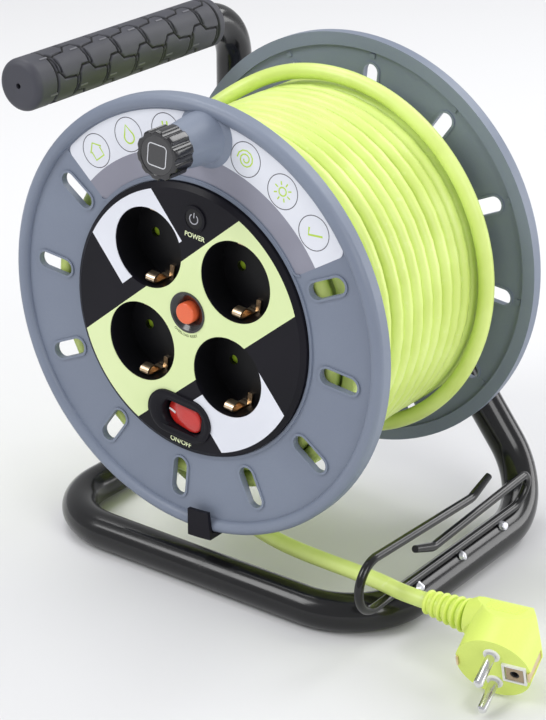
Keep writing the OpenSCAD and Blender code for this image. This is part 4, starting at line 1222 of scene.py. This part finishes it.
@dataclass
class Winding:
    """The wound cable: three layers of turns that carry the rest of its length."""

    cable_r: float = 4.2
    outer_r: float = 88.8
    layer_step: float = 8.75
    layers: int = 3
    pitch: float = 8.58
    turns: float = 14.35
    slips: tuple[Spot, ...] = ((10.4, 2.3), (5.2, 1.5))
    sway: float = 0.5
    start_angle: float = -70.0
    back_y: float = 138.1
    steps: int = 44
    bend: float = 33.6
    entry_y: float = 121.5
    inner_x: float = -62.0
    inner_from: float = -66.7
    inner_y: float = 43.0

    def tree(self) -> GeometryTree:
        """The rule of one layer: a cable wound about the Y axis."""
        tree = GeometryTree("winding_layer")
        radius, pitch, turns, start, back, cable, steps, hand, sway = tree.sizes(
            "Coil Radius", "Pitch", "Turns", "Start Angle", "Back", "Cable Radius", "Steps Per Turn",
            "Hand", "Sway")
        line = tree.add("GeometryNodeCurvePrimitiveLine")
        fine = tree.add("GeometryNodeResampleCurve", None, {"Curve": line, "Count": turns * steps + 1})
        turn = tree.add("GeometryNodeInputIndex") / steps
        angle = start + turn * hand * (2 * math.pi)
        along = back - turn * pitch
        for at, wide in self.slips:
            along = along - turn.rise(at, at + 0.3) * (wide * MM)
        reach = radius - ((turn * 5.3).sine() + 1) * sway
        coil = tree.add("GeometryNodeSetPosition", None, {
            "Geometry": fine,
            "Position": tree.vector(reach * angle.cosine(), along, reach * angle.sine())})
        tree.close(tree.add("GeometryNodeCurveToMesh", None,
                            {"Curve": coil, "Profile Curve": tree.circle(14, cable), "Fill Caps": True}))
        return tree

    def build(self) -> None:
        """Makes the three layers as one piece, and the cable inside the barrel."""
        tree = self.tree()
        parts = []
        for layer in range(self.layers):
            mesh = tree.mesh(LIME_CABLE.material(), Pitch=self.pitch * MM, Turns=self.turns,
                             Coil_Radius=(self.outer_r - layer * self.layer_step) * MM,
                             Start_Angle=math.radians(self.start_angle), Back=self.back_y * MM,
                             Cable_Radius=self.cable_r * MM, Steps_Per_Turn=float(self.steps),
                             Hand=-1.0 if layer % 2 == 0 else 1.0, Sway=self.sway / 2 * MM)
            parts.append(shape_of(mesh, on_drum))
        make_piece("wound_cable", joined(parts), LIME_CABLE, Body.DRUM, Slot.CABLE,
                   ("winding", "winding_core"), math.radians(60))
        lead_x = self.inner_x + self.bend
        inner = filleted([(on_drum(self.inner_from, self.entry_y, 0), 0),
                          (on_drum(lead_x, self.entry_y, 0), self.bend * MM),
                          (on_drum(lead_x, self.inner_y, 0), 0)], 5)
        make_piece("inner_cable", sweep(inner, self.cable_r * MM, 16), LIME_CABLE, Body.DRUM, Slot.CABLE,
                   ("inner_cord",))


# Drum ----------------------------------------------------------------------


@dataclass
class DrumLabel:
    """The printed label's rings, plain symbols and the raised line below it."""

    ring_r: float = 8.7
    ring_at: float = 96.6
    ring_w: float = 0.42
    spread: float = 14.6
    film_y: float = 3.5
    print_t: float = 0.05
    line_r: float = 74.1
    line_w: float = 0.9
    line_from: float = 39.0
    line_to: float = 141.0
    curl_r: float = 3.0
    film_in_r: float = 87.2
    film_out_r: float = 107.2
    film_from: float = 37.0
    film_t: float = 0.4
    corner_r: float = 4.0
    boss_at: float = 98.0
    boss_gap_r: float = 16.0
    line_y: float = 2.7
    line_t: float = 0.8

    def spots(self) -> list[Spot]:
        """The middles of the six rings."""
        return [polar(self.ring_at, 90 + s * self.spread * k) for s in (1, -1) for k in (1, 2, 3)]

    def film_half(self, way: int) -> MeshData:
        """Half of the white film, with its outer end rounded.

        Args:
            way: 1 for the right half, -1 for the left.

        Returns:
            Points and faces.
        """
        reach = self.film_out_r - self.corner_r
        end = self.film_from + math.degrees(math.asin(self.corner_r / reach))
        corner = polar(reach, end)
        cosine = ((self.film_out_r ** 2 + self.boss_at ** 2 - self.boss_gap_r ** 2)
                  / (2 * self.film_out_r * self.boss_at))
        stop = 90 - math.degrees(math.acos(cosine))
        ends = [polar(r, stop) for r in (self.film_out_r, self.film_in_r)]
        gap = [math.degrees(math.atan2(z - self.boss_at, x)) for x, z in ends]
        line = arc(corner, self.corner_r, self.film_from - 90, end, 10)
        line += arc((0, 0), self.film_out_r, end + 0.5, stop, 40)
        line += arc((0, self.boss_at), self.boss_gap_r, gap[0], gap[1], 16)[1:-1]
        line += arc((0, 0), self.film_in_r, stop, self.film_from, 40)
        return flat_shape([(way * x, z) for x, z in line], self.film_y, self.film_t)

    def symbols(self) -> list[MeshData]:
        """Plain symbols: a drop, a house, a plug, a coil, a sun and a tick."""
        body = [(-2.8, 1.6), (2.8, 1.6), (2.8, -0.4)] + arc((0, -0.6), 2.8, 0, -180, 12)
        house = [(-4.2, 0.6), (0, 4.4), (4.2, 0.6), (3.1, 0.6), (3.1, -4), (-3.1, -4), (-3.1, 0.6)]
        coil = [(0.1736 * k * math.cos(k * 0.55), 0.1736 * k * math.sin(k * 0.55)) for k in range(6, 30)]
        lines: list[tuple[int, float, bool, list[Spot]]] = [
            (1, 0.8, True, [(0, 5.0)] + arc((0, -1.4), 3.1, 40, -220, 20)), (2, 0.8, True, house),
            (0, 0.9, False, [(-1.4, 1.4), (-1.4, 4.6)]), (0, 0.9, False, [(1.4, 1.4), (1.4, 4.6)]),
            (0, 0.9, False, [(0, -3.2), (0, -5.4)]), (3, 0.7, False, coil),
            (4, 0.7, True, arc((0, 0), 2.1, 0, 345, 23)),
            (5, 1.0, False, [(-3.6, -0.4), (-1.0, -3.2), (4.0, 3.2)])]
        lines += [(4, 0.7, False, [polar(3.3, a), polar(5.2, a)]) for a in range(0, 360, 45)]

        def put(points: list[Spot], number: int) -> list[Spot]:
            """Moves a symbol to its ring and turns it upright on the drum."""
            x, z = self.spots()[number]
            lean = math.atan2(z, x) - math.pi / 2
            c, s = math.cos(lean), math.sin(lean)
            return [(x + p * c - q * s, z + p * s + q * c) for p, q in points]

        y, t = self.film_y - self.print_t, self.print_t
        shapes = [stroke(put(line, number), width, y, t, closed) for number, width, closed, line in lines]
        return [flat_shape(put(body, 0), y, t), *shapes]

    def ring_tree(self) -> GeometryTree:
        """The rule of the rings: thin flat rings along an arc."""
        tree = GeometryTree("label_rings")
        count = tree.count()
        at, spread, size, wide, thick, first = tree.sizes(
            "Arc Radius", "Spread", "Ring Radius", "Line Width", "Thickness", "First Angle")
        band = tree.add("GeometryNodeCurvePrimitiveQuadrilateral", {"mode": "RECTANGLE"},
                        {"Width": wide, "Height": thick})
        one = tree.add("GeometryNodeCurveToMesh", None,
                       {"Curve": tree.circle(72, size), "Profile Curve": band})
        angle = first + tree.add("GeometryNodeInputIndex") * spread
        arc_line = tree.add("GeometryNodeSetPosition", None, {
            "Geometry": tree.row(count),
            "Position": tree.vector(at * angle.cosine(), 0.0, at * angle.sine())})
        tree.close(tree.add("GeometryNodeInstanceOnPoints", None, {
            "Points": arc_line, "Instance": one, "Rotation": (math.pi / 2, 0, 0)}))
        return tree

    def curl(self, degrees: float, way: int) -> list[Spot]:
        """The small turn outwards at an end of the raised line.

        Args:
            degrees: The angle at which the line ends.
            way: 1 where the line runs anticlockwise into it, else -1.

        Returns:
            Its points, from the line outwards.
        """
        (ox, oz), (sx, sz) = polar(1, degrees), polar(way, degrees + 90)
        turns = [polar(self.curl_r, k * 11) for k in range(1, 9)]
        lifts = [(self.line_r + self.curl_r - back, over) for back, over in turns]
        return [(up * ox + over * sx, up * oz + over * sz) for up, over in lifts]

    def build(self) -> None:
        """Makes the rings, the symbols and the raised line."""
        tree = self.ring_tree()
        rings = []
        for first in (90 + self.spread, 90 - 3 * self.spread):
            mesh = tree.mesh(INK_GREY.material(), Count=3, Arc_Radius=self.ring_at * MM,
                             Spread=math.radians(self.spread), Ring_Radius=self.ring_r * MM,
                             Line_Width=self.ring_w * MM, Thickness=self.print_t * MM,
                             First_Angle=math.radians(first))
            print_y = self.film_y - self.print_t / 2
            rings.append(shape_of(mesh, lambda x, y, z: on_drum(x, print_y + y, z)))
        make_piece("label_white_film", joined([self.film_half(1), self.film_half(-1)]), WHITE_FILM,
                   Body.DRUM, Slot.WHITE_FILM, ("label_white",))
        make_piece("label_ring_lines", joined(rings), INK_GREY, Body.DRUM, Slot.GREY_FILM)
        make_piece("label_symbols", joined(self.symbols()), INK_LIME, Body.DRUM, Slot.GREEN_FILM)
        line = arc((0, 0), self.line_r, self.line_from, self.line_to, 80)
        line = self.curl(self.line_from, -1)[::-1] + line + self.curl(self.line_to, 1)
        raised = stroke(line, self.line_w, self.line_y, self.line_t)
        make_piece("label_edge_line", raised, SLATE, Body.DRUM, Slot.DRUM)


@dataclass
class CrankKnob:
    """The fluted knob on the crank, with the outline on its badge."""

    centre_r: float = 98.0
    radius: float = 12.3
    front_y: float = -33.6
    back_y: float = -20.3
    flutes: int = 10
    flute_r: float = 2.6
    flute_out: float = 1.2
    edge: float = 1.1
    lip_r: float = 9.5
    recess: float = 1.2
    pin_r: float = 3.05
    head_r: float = 5.3
    head_y: float = -28.3
    sides: int = 240
    badge_half: float = 5.4
    badge_corner: float = 1.8
    badge_w: float = 0.5
    badge_y: float = -33.26
    badge_t: float = 0.08

    def flute(self, reach: float, angle: float) -> float:
        """Cuts the flutes out of a radius.

        Args:
            reach: The radius before the flutes.
            angle: The angle round the knob.

        Returns:
            The radius with its flutes.
        """
        if reach < self.lip_r + 0.2:
            return reach
        step = 2 * math.pi / self.flutes
        off = (angle + step / 2) % step - step / 2
        mid = self.radius + self.flute_out
        hidden = mid * math.sin(off)
        if abs(hidden) >= self.flute_r:
            return reach
        wall = mid * math.cos(off) - math.sqrt(self.flute_r ** 2 - hidden ** 2)
        gap = reach - wall
        soft = 0.5 * (gap + math.sqrt(gap * gap + 0.06)) - 0.03
        return reach - max(0.0, soft)

    def build(self) -> None:
        """Makes the knob and the badge's outline."""
        e = self.edge
        flat = self.back_y - self.front_y - 2 * e
        side = [(self.radius, self.front_y + e + flat * k / 6) for k in range(1, 6)]
        front = arc((self.radius - e, self.front_y + e), e, 270, 360, 6)
        back = arc((self.radius - e, self.back_y - e), e, 0, 90, 6)
        profile = [(self.lip_r, self.front_y + self.recess), (self.lip_r, self.front_y + 0.3),
                   (self.lip_r + 0.3, self.front_y)] + front + side + back
        profile += [(self.pin_r, self.back_y), (self.pin_r, self.head_y), (self.head_r, self.head_y),
                    (self.head_r, self.front_y + self.recess)]
        knob = lathe(profile, (0, self.centre_r), self.sides, self.flute)
        make_piece("knob_fluted", knob, KNOB_BLACK, Body.KNOB, Slot.BLACK, ("crank_knob",), math.radians(40))
        r = self.badge_corner
        reach = self.badge_half - r
        line = []
        for x, z, a in ((1, 1, 0), (-1, 1, 90), (-1, -1, 180), (1, -1, 270)):
            line += arc((x * reach, self.centre_r + z * reach), r, a, a + 90, 6)
        outline = stroke(line, self.badge_w, self.badge_y, self.badge_t, True)
        make_piece("badge_outline", outline, SILVER_INK, Body.KNOB, Slot.STEEL)


# Face ----------------------------------------------------------------------


def obround(wide: float, high: float, steps: int = 16) -> list[Spot]:
    """The outline of a pill that lies along X."""
    r = high / 2
    return arc((wide / 2 - r, 0), r, -90, 90, steps) + arc((r - wide / 2, 0), r, 90, 270, steps)


@dataclass
class SocketClips:
    """The bent earth clips at the top and bottom of each socket."""

    centres: tuple[Spot, ...] = ((-27.3, 31.5), (27.3, 31.5), (-27.3, -20.5), (27.3, -20.5))
    wall_z: float = 20.7
    half: float = 2.6
    thick: float = 0.7
    upper_rise: float = 0.55
    leg: tuple[float, float, float, float, float] = (2.0, 4.6, 15.7, 16.6, 14.0)
    bend: tuple[Spot, ...] = (
        (39.5, 0), (24, 0), (9, 0), (5.2, 0.1), (3.2, 0.7), (2.3, 2.0), (2.8, 3.7), (4.6, 4.8), (7.0, 5.0),
        (9.2, 4.0), (11.4, 2.4), (13.2, 1.0))

    def clip(self, x: float, z: float, side: int) -> MeshData:
        """One clip, bent inwards to a rounded nose.

        Args:
            x: The socket's middle across the face.
            z: The socket's middle up the face.
            side: 1 for the upper clip, -1 for the lower.

        Returns:
            Points and faces.
        """
        path = smooth_path([Vector((y, h, 0)) for y, h in self.bend], 3)
        points = []
        for i, p in enumerate(path):
            along = (path[min(i + 1, len(path) - 1)] - path[max(i - 1, 0)]).normalized()
            inner = p + Vector((along.y, -along.x, 0)) * self.thick
            rise = self.upper_rise if side > 0 else 1.0
            for q, wide in ((p, -self.half), (p, self.half), (inner, self.half), (inner, -self.half)):
                points.append(on_drum(x + wide, q.x, z + side * (self.wall_z - q.y * rise)))
        left, right, front, back, top = self.leg
        corners = ((left, front), (right, front), (right, back), (left, back))
        leg = [on_drum(x + a, b, z + side * h) for h in (self.wall_z, top) for a, b in corners]
        return joined([(points, strip_faces(len(path), 4, capped=True)),
                       (leg, strip_faces(2, 4, capped=True))])

    def build(self) -> None:
        """Makes all eight clips, each with its leg up the socket's floor."""
        clips = [self.clip(x, z, side) for x, z in self.centres for side in (-1, 1)]
        make_piece("socket_clips", joined(clips), BRASS, Body.DRUM, Slot.STEEL, ("earth_contacts",),
                   math.radians(50))


@dataclass
class Switch:
    """The switch: a rounded collar round a sunk, pill-shaped rocker with a white bar."""

    centre_z: float = -53.3
    pivot_y: float = 1.0
    wide: float = 24.6
    high: float = 13.6
    mid_y: float = -1.2
    lean: float = 7.0
    rest: float = -12.0
    crown: float = 0.9
    back: float = 2.1
    slide: float = 1.4
    domes: tuple[Spot, ...] = (
        (0.15, 0), (0.3, 0), (0.45, 0), (0.6, 0), (0.75, 0), (0.88, 0), (0.95, 0.15), (1.0, 0.7))
    bar: Spot = (-9.4, -4.0)
    bar_r: float = 0.55
    collar: tuple[tuple[float, float, float, float], ...] = (
        (40.2, 24.2, 0.4, 0), (40.2, 24.2, -0.9, 0), (39.6, 23.6, -1.4, 0), (38.4, 22.4, -1.8, 0),
        (36.4, 20.6, -2.0, 0.2), (32.6, 18.0, -1.9, 0.7), (29.6, 16.4, -1.5, 1.1), (27.6, 15.2, -0.9, 1.4),
        (26.4, 14.6, 0.2, 1.5), (26.0, 14.4, 5.6, 1.6), (29.2, 14.8, 5.6, 0), (29.2, 14.8, 0.4, 0))

    def rocker_point(self, x: float, z: float, depth: float) -> Vector:
        """A point along, across and behind the rocker's middle, turned to the stop it rests at."""
        c, s = polar(1, self.rest)
        return on_drum(x * c - depth * s, self.pivot_y + x * s + depth * c, self.centre_z + z)

    def front(self, x: float, z: float) -> float:
        """How far the rocker's front lies behind the pivot."""
        ridge = math.sqrt(x * x + 0.5) - 0.7
        return self.mid_y + ridge * math.tan(math.radians(self.lean)) + self.crown * (2 * z / self.high) ** 2

    def build(self) -> None:
        """Makes the collar, the rocker and its white bar."""
        rings = [on_drum(x + dx, y, self.centre_z + z)
                 for w, h, y, dx in self.collar for x, z in obround(w, h)]
        sides = len(obround(1, 1))
        make_piece("switch_collar", (rings, strip_faces(len(self.collar), sides, closed=True)), BLACK,
                   Body.DRUM, Slot.BLACK, (), math.radians(50))
        edge = [(x + self.slide, z) for x, z in obround(self.wide, self.high)]
        points = [self.rocker_point(0, 0, self.front(0, 0))]
        for share, sink in self.domes:
            points += [self.rocker_point(x, z, self.front(x, z) + sink)
                       for x, z in ((a * share, b * share) for a, b in edge)]
        points += [self.rocker_point(x, z, max(self.back, self.front(x, z) + 0.9)) for x, z in edge]
        count = len(edge)
        faces = [(0, 1 + k, 1 + (k + 1) % count) for k in range(count)]
        last = len(self.domes)
        faces += [tuple(1 + i for i in face) for face in strip_faces(last + 1, count)]
        faces.append(tuple(1 + last * count + k for k in range(count)))
        make_piece("rocker_cap", (points, faces), RED, Body.ROCKER, Slot.ROCKER, ("rocker",),
                   math.radians(60))
        line = [self.rocker_point(x, 0, self.front(x, 0)) for x in np.linspace(*self.bar, 9)]
        make_piece("rocker_bar", sweep(line, self.bar_r * MM, 10), INK_WHITE, Body.ROCKER, Slot.WHITE_FILM)


@dataclass
class FaceDetails:
    """The face plate's lettering and the lamp's symbol."""

    face_y: float = -0.7
    lamp_z: float = 56.0
    print_t: float = 0.05
    words: tuple[tuple[str, str, float, float, float, Film, float], ...] = (
        ("power_word", "POWER", 0.9, 46.9, 2.5, INK_PALE, 0),
        ("switch_words", "ON/OFF", 1.8, -67.2, 2.6, INK_PALE, 0),
        ("reset_words", "OVERLOAD RESET", 0, 5.5, 1.3, INK_OLIVE, 12.6))
    symbol_r: float = 2.5
    symbol_w: float = 0.55
    symbol_t: float = 0.06
    bar_z: Spot = (56.6, 59.3)
    lens_y: float = -1.2

    def word(self, name: str, text: str, x: float, z: float, height: float, finish: Film,
             bend: float) -> None:
        """Prints plain lettering on the face.

        Args:
            name: The piece's name.
            text: The letters.
            x: Their middle across the face, in millimetres.
            z: Their middle up the face, in millimetres.
            height: Their height in millimetres.
            finish: Their ink.
            bend: The radius of the arc below that they follow, or 0 for a straight line.
        """
        curve = bpy.data.curves.new(name, "FONT")
        curve.body = text
        curve.align_x, curve.align_y = "CENTER", "CENTER"
        curve.size = height / 0.7
        curve.extrude = self.print_t
        curve.offset = height * 0.02
        mesh = hardened(linked(name, curve))
        points = []
        for v in mesh.vertices:
            across, up = v.co.x, v.co.y
            if bend:
                a = across / bend
                across, up = (bend - up) * math.sin(a), -(bend - up) * math.cos(a)
            points.append(on_drum(x + across, self.face_y - v.co.z, z + up))
        faces = [tuple(p.vertices) for p in mesh.polygons]
        make_piece(name, (points, faces), finish, Body.DRUM, Slot.GREEN_FILM)

    def build(self) -> None:
        """Makes every detail of the face."""
        for word in self.words:
            self.word(*word)
        width, y, t = self.symbol_w, self.lens_y - self.symbol_t, self.symbol_t
        ring = stroke(arc((0, self.lamp_z), self.symbol_r, 125, 415, 30), width, y, t)
        bar = stroke([(0, z) for z in self.bar_z], width, y, t)
        make_piece("lamp_symbol", joined([ring, bar]), INK_SILVER, Body.DRUM, Slot.GREY_FILM)


# Scene ---------------------------------------------------------------------


@dataclass
class Studio:
    """The camera, the pale floor and the soft lamps."""

    eye: Place = (0.63335, -0.8610, 0.5741)
    azimuth: float = 36.61
    elevation: float = 23.86
    lens: float = 110.19
    sky: float = 0.55
    reach: float = 4.0
    aim: Place = (0, 0, 0.12)
    lamps: tuple[tuple[str, Place, float, float], ...] = (
        ("key", (-0.9, -1.3, 1.5), 0.9, 16), ("fill", (1.5, -0.5, 0.9), 0.8, 9),
        ("back", (0.4, 1.5, 1.4), 0.9, 12), ("side", (1.0, 1.25, 0.4), 0.7, 6),
        ("top", (-0.7, 0.2, 1.7), 0.9, 10))

    def build_camera(self) -> None:
        """Makes the camera."""
        a, e = math.radians(self.azimuth), math.radians(self.elevation)
        right = Vector((math.cos(a), math.sin(a), 0))
        back = Vector((math.sin(a) * math.cos(e), -math.cos(a) * math.cos(e), math.sin(e)))
        up = back.cross(right)
        data = bpy.data.cameras.new("camera")
        data.lens = self.lens
        data.sensor_width = 36
        data.clip_start, data.clip_end = 0.05, 50
        camera = linked("camera", data)
        camera.matrix_world = Matrix.Translation(self.eye) @ Matrix((right, up, back)).transposed().to_4x4()
        bpy.context.scene.camera = camera

    def lamp(self, name: str, spot: Place, size: float, power: float) -> None:
        """Hangs one soft square lamp that faces the reel.

        Args:
            name: Its name.
            spot: Its place.
            size: Its side.
            power: Its power in watts.
        """
        data = bpy.data.lights.new(name, "AREA")
        data.size = size
        data.energy = power
        lamp = linked(name, data)
        lamp.location = spot
        lamp.rotation_euler = (Vector(spot) - Vector(self.aim)).to_track_quat("Z", "Y").to_euler()

    def build_set(self) -> None:
        """Makes the floor, the lamps and the sky."""
        floor = bpy.data.meshes.new("floor")
        corners = [(x * self.reach, y * self.reach, 0) for x, y in ((-1, -1), (1, -1), (1, 1), (-1, 1))]
        floor.from_pydata(corners, [], [(0, 1, 2, 3)])
        pale = Surface("floor_pale").finish(Base_Color=(0.78, 0.78, 0.79, 1), Roughness=0.9, Specular=0.1)
        floor.materials.append(pale)
        linked("floor", floor)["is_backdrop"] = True
        for lamp in self.lamps:
            self.lamp(*lamp)
        world = bpy.data.worlds.new("sky")
        world.use_nodes = True
        build = NodeBuilder(world.node_tree)
        world.node_tree.nodes.clear()
        sky = build.add("ShaderNodeBackground", None, {"Color": (0.93, 0.94, 0.96, 1), "Strength": self.sky})
        end = world.node_tree.nodes.new("ShaderNodeOutputWorld")
        world.node_tree.links.new(sky.socket, end.inputs["Surface"])
        bpy.context.scene.world = world
        bpy.context.scene.view_settings.view_transform = "Standard"


def dress_nodes(nodes: dict[str, bpy.types.Object]) -> None:
    """Gives each of the model's own nodes its finish.

    Args:
        nodes: The model's nodes by name.
    """
    for name, node in nodes.items():
        finish = NODE_FINISHES.get(name)
        if finish is None:
            continue
        material = finish.material()
        if not node.data.materials:
            node.data.materials.append(material)
        for slot in node.material_slots:
            slot.material = material


def main() -> None:
    """Builds the reel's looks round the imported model, part by part."""
    logging.basicConfig(level=logging.INFO, format="%(message)s")
    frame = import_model()
    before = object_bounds()
    nodes = frame["nodes"]
    studio = Studio()
    studio.build_camera()
    FreeCord().build(nodes)
    Winding().build()
    TubeFrame().build()
    HandleGrip().build()
    CableHook().build()
    DrumLabel().build()
    CrankKnob().build()
    SocketClips().build()
    Switch().build()
    FaceDetails().build()
    dress_nodes(nodes)
    studio.build_set()
    boxes = {"cad": before, "visual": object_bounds()}
    {key: [[float(c) for c in corner] for corner in box] for key, box in boxes.items()}


if __name__ == "__main__":
    main()
